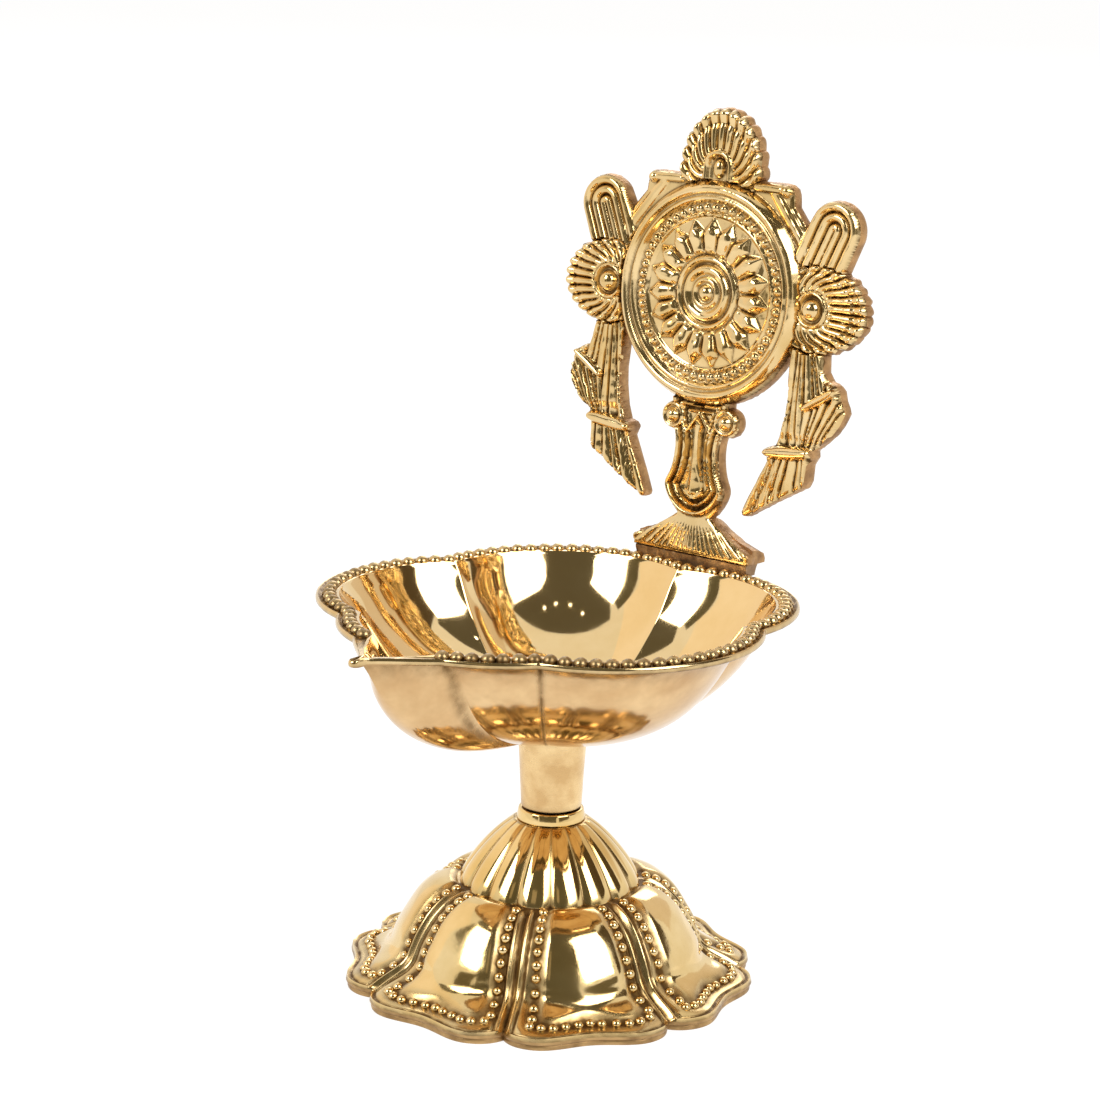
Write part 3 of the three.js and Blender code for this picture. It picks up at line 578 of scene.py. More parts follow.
# Bowl
LOBES = 5
LOBE_CENTRE = 18.0
LOBE_RADIUS = 30.7
LOBE_PINCH = 1.5  # the front lobe is drawn in by this at the lip
BOWL_FOOT_Z = 50.7
BOWL_DEPTH = 26.0
RIM_Z = BOWL_FOOT_Z + BOWL_DEPTH
RIM_WIDTH = 4.9
LIP_RIM_WIDTH = 1.9
RIM_SUNK = 0.5  # depth of the channel that the beads lie in
LIP_REACH = 10.8
LIP_HALF = 14.0  # degrees
LIP_TIP = 58.0
NOSE_RADIUS = 1.15
RIM_BEAD_PITCH = 2.9
RIM_BEAD_SHARE = 0.43  # of the rim's width, from inside

# Share of the reach, lobing, share of the lip, roundness of the lip, offset, share of the depth
OUTSIDE = [(0.17, 0.2, 0, 2, 0, 0), (0.36, 0.6, 0.75, 2, 0, 0.055), (0.55, 0.85, 0.98, 2.2, 0, 0.16),
    (0.70, 1, 1.03, 2.2, 0.4, 0.31), (0.81, 1, 1.04, 2, 0.8, 0.49), (0.89, 1, 1.03, 1.6, 1.1, 0.68),
    (0.95, 1, 1.04, 1, 1.4, 0.85), (1, 1, 0.99, 0.7, 1.8, 0.95)]
INSIDE = [(0.960, 1, 0.92, 1.1, -0.3, 0.87), (0.884, 1, 0.94, 1.6, -0.5, 0.68),
    (0.77, 1, 0.92, 2, -0.7, 0.48), (0.64, 1, 0.86, 2.2, -0.8, 0.32),
    (0.46, 0.85, 0.7, 2.2, -0.6, 0.19), (0.24, 0.6, 0.3, 2, 0, 0.115)]
# Inset and height, then share of the width and of the sinking, then distance out and depth
RIM_EDGE = [(0.9, 75.4), (0.3, 75.42), (0.04, 75.7), (0, 76.1), (0.1, 76.5), (0.34, 76.7)]
RIM_CHANNEL = [(0.87, 0.15), (0.80, 0.9), (0.70, 1), (0.5, 1), (0.34, 1), (0.265, 0.7), (0.225, 0.05),
    (0.12, 0)]
RIM_MOUTH = [(0.16, 0.06), (0, 0.35)]
RIM_PATINA = [.8, .75, .55, .35, .2, .3, .9, 1, 1, 1, 1, 1, .5, .1, 0, 0]


def lobe_reach(angle, arc):
    span = TURN / LOBES
    off = angle - span * np.round(angle / span)
    return LOBE_CENTRE * np.cos(off) + np.sqrt(arc ** 2 - (LOBE_CENTRE * np.sin(off)) ** 2)


def off_lip(angle):
    """Degrees from the lip."""
    return np.abs(np.degrees(np.arctan2(np.sin(angle), np.cos(angle))))


def lip_reach(angle, reach, roundness):
    return reach * (1 - np.minimum(1, off_lip(angle) / LIP_HALF) ** roundness)


def lobe_pinch(angle):
    return LOBE_PINCH * np.maximum(0, 1 - off_lip(angle) * LOBES / 180)


def rim_edges(angle):
    """Outer edge and width of the rim at each angle."""
    beak = lip_reach(angle, LIP_REACH, 0.5)
    width = blend(RIM_WIDTH, LIP_RIM_WIDTH, np.minimum(1, 2.5 * beak / LIP_REACH))
    outer = lobe_reach(angle, LOBE_RADIUS) - lobe_pinch(angle) + beak
    centre = LIP_TIP - NOSE_RADIUS
    across = centre * np.sin(angle)
    nose = centre * np.cos(angle) + np.sqrt(np.clip(NOSE_RADIUS ** 2 - across ** 2, 0, None))
    at_nose = (np.abs(across) < NOSE_RADIUS) & (np.cos(angle) > 0)
    edge = np.where(at_nose, np.maximum(nose, outer), outer)
    return edge, width + edge - outer


def bowl_stations(angle, stations):
    full = lobe_reach(0.0, LOBE_RADIUS - RIM_WIDTH)
    lobe = (lobe_reach(angle, LOBE_RADIUS - RIM_WIDTH) - lobe_pinch(angle)) / full
    rows = []
    for share, lobing, channel, roundness, offset, z in stations:
        r = share * full * blend(1, lobe, lobing) + offset + lip_reach(angle, channel * LIP_REACH, roundness)
        rows.append(column(r, BOWL_FOOT_Z + z * BOWL_DEPTH))
    return np.concatenate(rows, axis=1)


def bowl_piece():
    angles = radians(np.r_[0:6:0.125, 6:354:0.5, 354:360:0.125])
    outer, width = rim_edges(angles)
    inner = outer - width
    broad = np.clip((width - LIP_RIM_WIDTH) / 3, 0, 1)
    low = splined(bowl_stations(angles, OUTSIDE), np.linspace(0, 7, 50))
    rim = [column(outer - inset, z) for inset, z in RIM_EDGE]
    rim += [column(inner + share * width, RIM_Z - depth * (RIM_SUNK * broad)) for share, depth in RIM_CHANNEL]
    rim += [column(inner + out, RIM_Z - depth) for out, depth in RIM_MOUTH]
    floor = all_round([(0, BOWL_FOOT_Z + 0.09 * BOWL_DEPTH)], angles)
    walls = np.concatenate([rim[-1], bowl_stations(angles, INSIDE), floor], axis=1)
    walls = splined(walls, np.linspace(0, 7, 54))[:, 1:]
    walls[:, -1, 0] = 0
    section = np.concatenate([all_round([(0, BOWL_FOOT_Z)], angles), low, *rim, walls], axis=1)
    lows = 1 + low.shape[1]
    dark = np.zeros(section.shape[:2])
    # On the outside: darker along the creases between the lobes and at the grooves where the beak begins.
    crease = hump(off_lip(angles) % (360 / LOBES) - 180 / LOBES, 0.9)[:, None]
    dark[:, :lows] = 0.62 * crease + 0.5 * hump(off_lip(angles) - 12.8, 0.9)[:, None]
    # Painted shade: the outside grows darker towards the top, under the rim's overhang, on top of an even
    # patina.
    dark[:, :lows] += 0.4 * ease(0.75, 1.0, np.linspace(0, 1, lows))[None] + 0.08
    dark[:, lows:lows + len(rim)] = RIM_PATINA * (0.5 + 0.5 * broad)[:, None]
    points, quads = revolved(angles, section)
    along = section.shape[1]
    quads = quads[quads[:, 0] % along < along - 1]
    shape = Shape(points, [quads], dark.reshape(-1), quads[:, 0] % along < lows + 2)
    places, axes = rim_beads()
    points, *faces = beads(places, axes, 12, 7)
    # Painted shade: the rim beads are darker towards the front (-Y), on top of an even patina.
    patina_and_shade = 0.34 + 0.40 * ease(20, -25, np.array(places)[:, 1])
    shape.add(points, faces, np.repeat(patina_and_shade, len(points) // len(places)))
    piece("bowl_cast", shape, [BOWL_INSIDE, BOWL_OUTSIDE], "upper", ["bowl"], 50, weld=True)


def rim_beads():
    """Beads along the rim, left out round the pouring lip."""
    angle = radians(np.linspace(12.5, 345.5, 4000))
    outer, width = rim_edges(angle)
    r = outer - width + RIM_BEAD_SHARE * width
    path = np.stack([r * np.sin(angle), -r * np.cos(angle)], axis=1)
    run = np.concatenate([[0], np.cumsum(np.linalg.norm(np.diff(path, axis=0), axis=1))])
    count = int(round(run[-1] / RIM_BEAD_PITCH))

    def on_rim(along):
        return np.array([np.interp(along, run, path[:, 0]), np.interp(along, run, path[:, 1]), 0])

    dice = np.random.RandomState(4)
    places, axes = [], []
    for k in range(count + 1):
        along = min(max(k * run[-1] / count + dice.uniform(-0.12, 0.12), 0), run[-1])
        tangent = on_rim(along + 0.4) - on_rim(along - 0.4)
        tangent /= np.linalg.norm(tangent)
        across = np.array([-tangent[1], tangent[0], 0])
        size = dice.uniform(0.94, 1.05, 3)
        places.append(on_rim(along) + UP * (RIM_Z - 0.18))
        axes.append([tangent * 1.42 * size[0], across * 1.5 * size[1], UP * 1.25 * size[2]])
    return places, axes


# Back plate: x across, u up from its foot, w out of the relief face
LEAN = math.radians(5.0)
PLATE_Y = 42.95
PLATE_Z = 79.0
PLATE_BACK = 2.4
CELL = 0.22  # of the grid that carries the relief
DISC = (0.0, 54.1)
DISC_RADIUS = 22.9
DISC_PETALS = 19
BEADLETS = 52
BEADLET_CIRCLE = 17.15
RIBS = 17  # round a rosette, and round the crown
FLOWER = (25.8, 53.7)
FLOWER_IN = 9.2
FLOWER_OUT = 12.4
FLOWER_UP = 8.9
FLAME_U = 78.3
FLAME_SIDE = 10.2
FLAME_UP = 13.1
LOOP = (28.9, 69.5)
LOOP_RADIUS = 5.9
LOOP_RIDGES = ((1.0, 1.1, 1.5), (3.15, 0.95, 1.3), (5.15, 0.75, 1.1))  # inset, half breadth, rise
# Both ends, half breadth at the ends and in the middle, rise
TIES = ((17.8, 24.2, 28.0, 25.2, 0.9, 1.4, 1.9), (26.2, 34.1, 32.9, 38.3, 0.6, 1.05, 1.7))
HEEL_HALF = 14.6
SEAM_HALF = 14.3
SEAM_MIDDLE = 44.95

# Radius and height
DISC_PROFILE = [(0, 3.35), (0.8, 3.2), (1.35, 2.75), (1.65, 2.15), (2.1, 2.05), (2.4, 2.55), (2.75, 2.75),
    (3.1, 2.5), (3.4, 2.05), (3.75, 2.15), (4.5, 2.75), (5, 2.85), (5.45, 2.5), (5.8, 1.7),
    (6.1, 1.6), (6.5, 2.2), (6.95, 2.5), (7.4, 2.2), (7.8, 1.6), (8.1, 1.7), (8.35, 1.95),
    (8.6, 1.85), (9, 1.78), (10.5, 1.68), (12, 1.57), (13.5, 1.44), (15.1, 1.28), (15.5, 1.5),
    (15.8, 1.85), (16.1, 1.5), (16.4, 1.2), (17.9, 1.2), (18.3, 1.45), (18.8, 2.1),
    (19.15, 2.4), (19.45, 2.25), (19.75, 1.95), (20.05, 2.05), (20.35, 2.6), (20.75, 2.85),
    (21.3, 2.8), (21.8, 2.3), (22.3, 1.6), (22.65, 1.15), (22.9, 0.8)]
FLOWER_EYE = [(0, 3.3), (0.7, 3.2), (1.3, 2.9), (1.8, 2.3), (2.1, 1.5), (2.3, 1.1), (2.6, 1.15), (2.9, 1.7),
    (3.25, 2.25), (3.55, 2), (3.9, 1.4), (4.3, 1.2)]
SPIRAL = [(0, 2.35), (0.8, 2.1), (1.35, 1.4), (1.6, 0.8), (1.85, 0.8), (2.3, 1.35), (2.7, 1.15), (2.95, 0.5)]
# Distance in from the shell's edge and height
SHELL = [(0, 0.7), (0.3, 1.6), (0.65, 1.75), (1, 1.3), (1.25, 0.15), (1.6, -0.1), (1.95, 0.85), (2.3, 1.55),
    (2.65, 1), (2.9, 0.05), (3.2, -0.2), (3.6, 0.7), (4, 0.1), (5.2, 0), (9, 0)]
# Height on the plate and half breadth
LANCE = [(12, 0.2), (13.2, 2.0), (15.5, 1.75), (20, 0.95), (25, 0.8), (27.2, 1.0), (28.6, 0.15)]
# Depth behind the relief face and share of the heel's height
HEEL = [(-1.5, 0), (-1.5, 1), (-2.6, 1), (-4.2, 0.93), (-5.4, 0.78), (-6.0, 0.45), (-6.0, 0)]
HEEL_TOP = [(0, 9.0), (4.3, 8.3), (6.6, 6.8), (9.2, 5.2), (12.2, 3.9), (14.6, 3.1)]
# Y and Z
SOLDER_RING = [(43.2, 76.72), (43, 77.5), (42.8, 78.4), (42.7, 79), (47.2, 79), (46.8, 78.3),
    (46.4, 77.4), (46.2, 76.72)]


def plate_place(x, u, w):
    y = PLATE_Y + u * math.sin(LEAN) - w * math.cos(LEAN)
    z = PLATE_Z + u * math.cos(LEAN) + w * math.sin(LEAN)
    return np.stack([x, y, np.maximum(z, PLATE_Z)], axis=-1)


def from_segment(x, u, x1, u1, x2, u2):
    """Distance to the segment, and how far along it the nearest point is."""
    dx, du = x2 - x1, u2 - u1
    share = np.clip(((x - x1) * dx + (u - u1) * du) / (dx * dx + du * du), 0, 1)
    return np.hypot(x - x1 - share * dx, u - u1 - share * du), share


def inside_polygon(x, u, points):
    """Distance to a closed outline, positive inside it."""
    best = np.full(x.shape, 1e9)
    inside = np.zeros(x.shape, bool)
    for (x1, u1), (x2, u2) in zip(points, points[1:] + points[:1]):
        dx, du = x2 - x1, u2 - u1
        share = np.clip(((x - x1) * dx + (u - u1) * du) / (dx * dx + du * du + 1e-12), 0, 1)
        best = np.minimum(best, (x - x1 - share * dx) ** 2 + (u - u1 - share * du) ** 2)
        if u1 != u2:
            inside ^= ((u1 > u) != (u2 > u)) & (x < dx * (u - u1) / du + x1)
    return np.where(inside, 1, -1) * np.sqrt(best)


def smooth_line(points, count):
    rows = spline_matrix(len(points), np.linspace(0, len(points) - 1, count))
    return [tuple(p) for p in rows @ np.array(points, float)]


def mirrored(points):
    return points + [(-x, u) for x, u in reversed(points)]


FRAME_LINE = mirrored([(0, 54.1), (23.8, 57.1), (24, 64.6), (21.6, 69.8), (18.7, 73.2), (18.4, 75.6),
    (17.9, 76.8), (16.9, 77.4), (15, 77.5), (9, 77.4)])
WAIST = smooth_line([(4.2, 8.3), (6, 10.3), (7.4, 13.8), (6.3, 16.8), (5.4, 20.9), (5.6, 24.5), (6.6, 28),
    (7, 33.4)], 40)
NECK_LINE = mirrored([(0, 0), (14.7, 0), (14.8, 1.9), (14.3, 2.5), (12.2, 3.3), (9.2, 4.9),
    (6.6, 6.6)] + WAIST)
SHELL_FOOT = smooth_line([(0, 8.2), (1.9, 8.45), (3.5, 9.2), (5, 10.3), (6.3, 11.8), (7.2, 13.6),
    (7.3, 14.4)], 24)
SHELL_LINE = mirrored(SHELL_FOOT + [p for p in WAIST if p[1] > 14.2])
RIBBON_LINE = [(21, 48), (21.3, 40.4), (21.6, 35.9), (21.3, 32.3), (20.5, 28.3), (19.4, 25.5), (17.9, 25.2),
    (17.1, 24.3), (17.9, 22.3), (16.4, 19.2), (14.2, 14.7), (12.7, 11.3), (12.9, 10.4),
    (13.6, 10.3), (20, 14.2), (26.9, 18.2), (27.5, 19.5), (27.6, 22.8), (28.6, 24.5),
    (28.4, 25.8), (30.6, 27.6), (32.6, 29.6), (33.9, 31.4), (35.1, 34), (34.7, 35.2),
    (33.9, 36.6), (33.4, 38.4), (32.4, 39.3), (30.6, 39.9), (29.3, 41.6), (28.8, 48)]
LOOP_ARC = [(LOOP[0] + LOOP_RADIUS * math.cos(t), LOOP[1] + LOOP_RADIUS * math.sin(t))
    for t in np.radians(np.linspace(140, -14, 24))]
LOOP_LINE = [(19.0, 66.4), (22.4, 69.9)] + LOOP_ARC + [(32.0, 61.5), (22.0, 58.0)]


def ribs(phase):
    """Rounded ridges with narrow grooves between them, one for each whole number of phase."""
    return np.abs(np.sin(pi * phase)) ** 0.55


def disc_relief(x, u):
    dx, du = x - DISC[0], u - DISC[1]
    r = np.hypot(dx, du)
    turn = np.arctan2(dx, du)
    height = np.interp(r, *zip(*DISC_PROFILE))
    near = off_nearest(turn, DISC_PETALS)
    lateral = np.abs(r * np.sin(near))
    out = r * np.cos(near)
    half = np.interp(out, [7.6, 9.0, 12.2, 13.0, 15.3], [1.12, 1.42, 1.98, 1.85, 0])
    across = np.clip(lateral / np.maximum(half, 0.05), 0, 1)
    pointed = ease(11.0, 13.6, out)
    body = (1 - across ** blend(3.2, 1.2, pointed)) ** blend(0.5, 0.9, pointed) * ease(7.2, 8.9, out)
    swell = (1.35 + 0.45 * ease(9.0, 12.0, out)) * np.clip((15.3 - out) / 2.4, 0, 1) ** 0.75
    petal = np.where((lateral < half) & (out > 7.6), 1.3 + swell * body, 0)
    height = np.maximum(height, petal)
    beadlet = np.hypot((r - BEADLET_CIRCLE) / 0.95, BEADLET_CIRCLE * off_nearest(turn, BEADLETS) / 0.84)
    height = np.maximum(height, np.where(beadlet < 1, 1.0 + 1.05 * rounded(beadlet, 1), 0))
    return height, DISC_RADIUS - r


def frame_relief(x, u):
    """Shoulders beside the crown and the raised bands that run down from them."""
    ax = np.abs(x)
    band, _ = from_segment(ax, u, 13.6, 76.0, 24.5, 62.5)
    crossbar, _ = from_segment(ax, u, 9.5, 76.5, 15.4, 76.4)
    knob = np.hypot(ax - 16.7, u - 76.2)
    height = np.full(x.shape, 0.1)
    for away, half, low, rise in ((band, 1.3, 0.1, 0.9), (crossbar, 0.95, 0.5, 1.0), (knob, 1.35, 0.1, 1.7)):
        height = np.maximum(height, low + rise * rounded(away, half))
    return height, inside_polygon(x, u, FRAME_LINE)


def flower_relief(x, u):
    """The two ribbed rosettes."""
    ax = np.abs(x)
    dx, du = ax - FLOWER[0], u - FLOWER[1]
    r = np.hypot(dx, du)
    turn = np.arctan2(du, dx)
    across = np.where(dx > 0, FLOWER_OUT, FLOWER_IN)
    reach = 1 / np.hypot(np.cos(turn) / across, np.sin(turn) / FLOWER_UP)
    scallop = ribs(turn * RIBS / TURN + 0.24 * du * ease(2.5, 8, r))
    limit = reach * (0.955 + 0.045 * scallop) + 0.18 * wobble(9, ax, u, 3.2)
    share = np.clip((r - 3.4) / (reach - 3.4), 0, 1)
    height = 1.75 - share ** 2.2 + (1.35 * scallop - 1.1) * ease(3.7, 5.6, r)
    height += 0.3 * hump(share - 0.9, 0.07) - 0.28 * hump(share - 0.72, 0.06) - 0.5 * ease(0.92, 1.0, share)
    return np.where(r < 3.95, np.interp(r, *zip(*FLOWER_EYE)), height), limit - r


def flame_relief(x, u):
    """The crown at the top, with its arch and pellet."""
    du = u - FLAME_U
    r = np.hypot(x, du)
    turn = np.arctan2(x, du)
    reach = 1 / np.hypot(np.sin(turn) / FLAME_SIDE, np.cos(turn) / FLAME_UP)
    reach = np.where(du < 0, np.minimum(reach, FLAME_SIDE + 0.35 * du), reach)
    scallop = ribs(turn * RIBS / TURN + 0.5 + 0.19 * x * ease(2.5, 9, r))
    limit = reach * (0.945 + 0.055 * scallop) + 0.15 * wobble(19, x, u, 3.0)
    share = np.clip((r - 3.0) / (reach - 3.0), 0, 1)
    height = 1.35 + 0.3 * np.sin(pi * share ** 0.8) - 0.6 * ease(0.9, 1.0, share)
    height += (1.45 * scallop - 1.2) * ease(3.2, 5.2, r)
    height += 0.3 * hump(share - 0.88, 0.07) - 0.3 * hump(share - 0.7, 0.06)

    def in_arch(half, top):
        return np.where(u > top - half, half - np.hypot(x, u - top + half), half - np.abs(x))

    outer = in_arch(3.7, 83.1)
    inner = in_arch(2.35, 81.7)
    pellet = np.hypot(x / 1.35, (u - 79.2) / 1.9)
    height = np.where(outer > 0, 0.9 + 1.25 * rounded(outer - 0.65, 0.68), height)
    height = np.where(inner > 0, 0.8 + 0.5 * ease(0.5, 0, inner), height)
    height = np.where(pellet < 1, 1.0 + 1.2 * rounded(pellet, 1), height)
    return height, np.where(u > 75.0, limit - r, -1.0)


def loop_relief(x, u):
    ax = np.abs(x)
    away, _ = from_segment(ax, u, 24.6, 59.5, 28.9, 69.6)
    height = np.full(x.shape, 0.05)
    for inset, half, rise in LOOP_RIDGES:
        height = np.maximum(height, 0.05 + rise * rounded(LOOP_RADIUS - away - inset, half))
    return height, inside_polygon(ax, u, LOOP_LINE)


def ribbon_relief(x, u):
    """The pleated ribbons below the rosettes, each with a knot and a fold across it."""
    ax = np.abs(x)
    upper = np.arctan2(ax - 24.0, 62.0 - u) / 0.068
    lower = np.arctan2(ax - 26.6, 40.5 - u) / 0.096
    wing = np.arctan2(ax - 24.5, u - 19.0) / 0.098
    grain = wobble(23, ax * 3, u * 0.25, 3.5)
    fold_side = (ax - 26.2) * 4.2 - (u - 34.1) * 6.7
    below_fold = (fold_side > 0) & (ax > 25.6) & (u > 24.8)
    folds = np.where(u <= 24.8, lower, np.where(below_fold, wing, upper))
    folds = folds + 0.16 * np.sin(folds * 2.3) + 0.08 * grain
    height = 0.25 + 1.55 * ribs(folds) * (0.86 + 0.14 * np.sin(folds * 1.9)) + 0.05 * grain
    height -= 0.45 * ease(2.2, 0.2, np.abs(u - 26.8)) * (u > 25)
    for *ends, thin, thick, rise in TIES:
        away, share = from_segment(ax, u, *ends)
        half = blend(thin, thick, np.sin(share * pi) ** 0.5)
        height = np.where(away < half, np.maximum(height, 0.9 + rise * rounded(away, half)), height)
    return height, inside_polygon(ax, u, RIBBON_LINE)


def neck_relief(x, u):
    """The nested shell with its lance, the fan below it and a spiral on each side."""
    ax = np.abs(x)
    shell = inside_polygon(x, u, SHELL_LINE)
    nested = np.interp(np.clip(shell, 0, 20), *zip(*SHELL))
    lance = ax / np.interp(u, *zip(*LANCE))
    ridge = 0.3 + 1.5 * (1 - np.clip(lance, 0, 1) ** 1.5)
    nested = np.where((lance < 1) & (u > 12.8) & (u < 28.4), np.maximum(nested, ridge), nested)
    crescent = np.hypot(x, u - 14.4)
    nested = np.where((np.abs(crescent - 2.1) < 0.55) & (u < 13.6), np.maximum(nested, 1.25), nested)
    peak = np.abs(u - (29.6 - 1.35 * ax))
    nested = np.where((peak < 0.65) & (ax < 3.2), np.maximum(nested, 1.15 - 0.6 * peak), nested)
    ray = np.arctan2(x, 12.5 - u) / 0.106
    fan = 0.35 + 0.55 * ease(9.0, 1.5, u) + (0.6 * ribs(ray + 0.5) - 0.45) * ease(7.4, 4.0, u)
    fan = np.where(u < 0.95, 0.55, fan)
    side = np.hypot(ax - 6.7, u - 28.3)
    height = np.where(side < 2.9, np.interp(side, *zip(*SPIRAL)), np.where(shell > 0, nested, fan))
    return height, np.maximum(inside_polygon(x, u, NECK_LINE), 2.95 - side)


def plate_field(x, u):
    """Relief height and how far inside the outline each point is. The last three layers lie on top."""
    height = np.full(x.shape, -9.0)
    inside = np.full(x.shape, -1e9)
    lower = (frame_relief, loop_relief, ribbon_relief, neck_relief)
    for layer in (*lower, flower_relief, flame_relief, disc_relief):
        w, sdf = layer(x, u)
        w = w - 0.45 * np.exp(-np.maximum(sdf, 0) / 0.28)
        if layer in lower:
            w = np.maximum(height, w)
        height = np.where(sdf > 0, w, height)
        inside = np.maximum(inside, sdf)
    return height, inside


def box_blur(field, weight, cells):
    """Mean over a square of cells, of the points with weight only."""
    breadth = 2 * cells + 1

    def run(a):
        for _ in range(2):
            total = np.cumsum(np.pad(a, [(cells + 1, cells), (0, 0)], mode="edge"), axis=0)
            a = ((total[breadth:] - total[:-breadth]) / breadth).T
        return a

    return run(field * weight) / np.maximum(run(weight), 1e-6)


def outline_slope(x, u, step):
    """How far inside the outline the points are, and how that changes with x and u."""
    here = plate_field(x, u)[1]
    return here, (plate_field(x + step, u)[1] - here) / step, (plate_field(x, u + step)[1] - here) / step


def snap_to_outline(x, u, loose):
    """Moves the loose points onto the zero line of the outline."""
    for _ in range(4):
        here, dx, du = outline_slope(x[loose], u[loose], 0.02)
        size = np.maximum(dx * dx + du * du, 0.25)
        move = np.clip(here, -0.3, 0.3)
        x[loose] -= move * dx / size
        u[loose] -= move * du / size


def back_plate():
    x, u = np.meshgrid(np.arange(-39.6, 39.61, CELL), np.arange(0, 92.6, CELL), indexing="ij")
    height, inside = plate_field(x, u)
    good = inside > 0.02
    whole = good[:-1, :-1] & good[1:, :-1] & good[1:, 1:] & good[:-1, 1:]
    used = np.zeros_like(good)
    for a, b in ((0, 0), (1, 0), (1, 1), (0, 1)):
        used[a:a + whole.shape[0], b:b + whole.shape[1]] |= whole
    index = np.full(good.shape, -1)
    index[used] = np.arange(used.sum())
    i, j = np.nonzero(whole)
    quads = np.stack([index[i, j], index[i + 1, j], index[i + 1, j + 1], index[i, j + 1]], axis=1)
    edges = np.concatenate([quads[:, [k, (k + 1) % 4]] for k in range(4)])
    keys = {(a, b) for a, b in edges.tolist()}
    border = np.array([(a, b) for a, b in keys if (b, a) not in keys])
    px, pu = x[used], u[used]
    rim = np.unique(border)
    snap_to_outline(px, pu, rim[pu[rim] > 0.3])
    pw, _ = plate_field(px, pu)
    pw[pw < -5] = 0.1
    weight = used.astype(float)
    shown = np.where(used, height, 0)
    cavity = 1.8 * (box_blur(shown, weight, 2) - height) + 0.7 * (box_blur(shown, weight, 5) - height)
    darkening = np.clip((cavity[used] - 0.20) / 0.75, 0, 0.95)
    pw = pw + 0.04 * wobble(31, px, pu, 3.6) + 0.006 * wobble(37, px, pu, 1.1)
    shape = Shape(plate_place(px, pu, pw), [quads], darkening)
    add_walls(shape, border, rim, px[rim], pu[rim], pw[rim])
    add_heel(shape)
    piece("back_plate_cast", shape, [PLATE_BRASS, CAST_SKIN, FILED_BACK], "upper", ["back_plate"],
          66)


def add_walls(shape, border, rim, px, pu, pw):
    """Rough side walls from the relief's edge to the back, and the back itself."""
    order = {v: k for k, v in enumerate(rim.tolist())}
    sides = [(order[a], order[b]) for a, b in border.tolist()]
    _, dx, du = outline_slope(px, pu, 0.03)
    size = np.maximum(np.hypot(dx, du), 0.3)
    levels = 5
    previous = rim
    for level in range(1, levels + 1):
        share = level / levels
        bulge = 0.16 * math.sin(pi * share) + 0.09 * wobble(40 + level, px, pu, 1.7)
        if level == levels:
            bulge = -0.12
        x = px - dx / size * bulge
        u = np.maximum(pu - du / size * bulge, 0)
        ring = np.arange(len(shape.points), len(shape.points) + len(rim))
        shape.add(plate_place(x, u, blend(pw, -PLATE_BACK, share)), [], 0.9)
        shape.join([(previous[k], previous[i], ring[i], ring[k]) for i, k in sides], 1)
        previous = ring
    fill_back(shape, [(previous[i], previous[k]) for i, k in sides])


def fill_back(shape, edges):
    work = bmesh.new()
    names = sorted({v for edge in edges for v in edge})
    made = {v: work.verts.new(shape.points[v]) for v in names}
    work.verts.index_update()
    lines = [work.edges.new((made[a], made[b])) for a, b in edges]
    front = Vector((0, -math.cos(LEAN), math.sin(LEAN)))
    bmesh.ops.triangle_fill(work, use_beauty=True, use_dissolve=False, edges=lines, normal=-front)
    for face in work.faces:
        corners = [names[v.index] for v in face.verts]
        if face.normal.dot(front) > 0:
            corners.reverse()
        shape.join([corners], FLAT_FINISH)
    work.free()


def add_heel(shape):
    """Thick heel behind the plate's foot, which takes the solder."""
    xs = np.linspace(-HEEL_HALF, HEEL_HALF, 60)
    top = np.interp(np.abs(xs), *zip(*HEEL_TOP))
    rows = []
    for w, lift in HEEL:
        depth = np.full_like(xs, w)
        rough = 0.12 * wobble(51, xs, depth, 2.2) if lift else 0
        rows.append(plate_place(xs, lift * top + rough, depth))
    points, quads, ends = bar(rows)
    shape.add(points, [quads[:, ::-1], ends], 0.9, 1)


def solder_seam():
    """The run of solder that holds the plate's foot on the rim."""
    xs = np.linspace(-SEAM_HALF, SEAM_HALF, 80)
    fade = ease(SEAM_HALF, SEAM_HALF - 1.5, np.abs(xs))
    rows = []
    for k, (y, z) in enumerate(SOLDER_RING):
        level = np.full_like(xs, z)
        across = SEAM_MIDDLE + (y - SEAM_MIDDLE) * (0.88 + 0.12 * fade)
        lump = 0.18 * wobble(60 + k, xs, level, 2.4) * (0 < k < 7)
        rows.append(np.stack([xs, across + lump, level], axis=1))
    points, quads, ends = bar(rows)
    shape = Shape(points, [quads, ends], 0.6)
    piece("solder_run", shape, [SOLDER], "upper", ["solder_seam"], 50)


# Camera, floor and light
AZIMUTH = math.radians(39.76)
PITCH = math.radians(13.654)
ROLL = math.radians(1.191)
EYE = Vector((0.37811, -0.45447, 0.231046))
LENS = 102.196
SHIFT = (-0.0059, 0.00012)
LIT_POINT = Vector((0, 0, 0.07))  # what lights and cards face

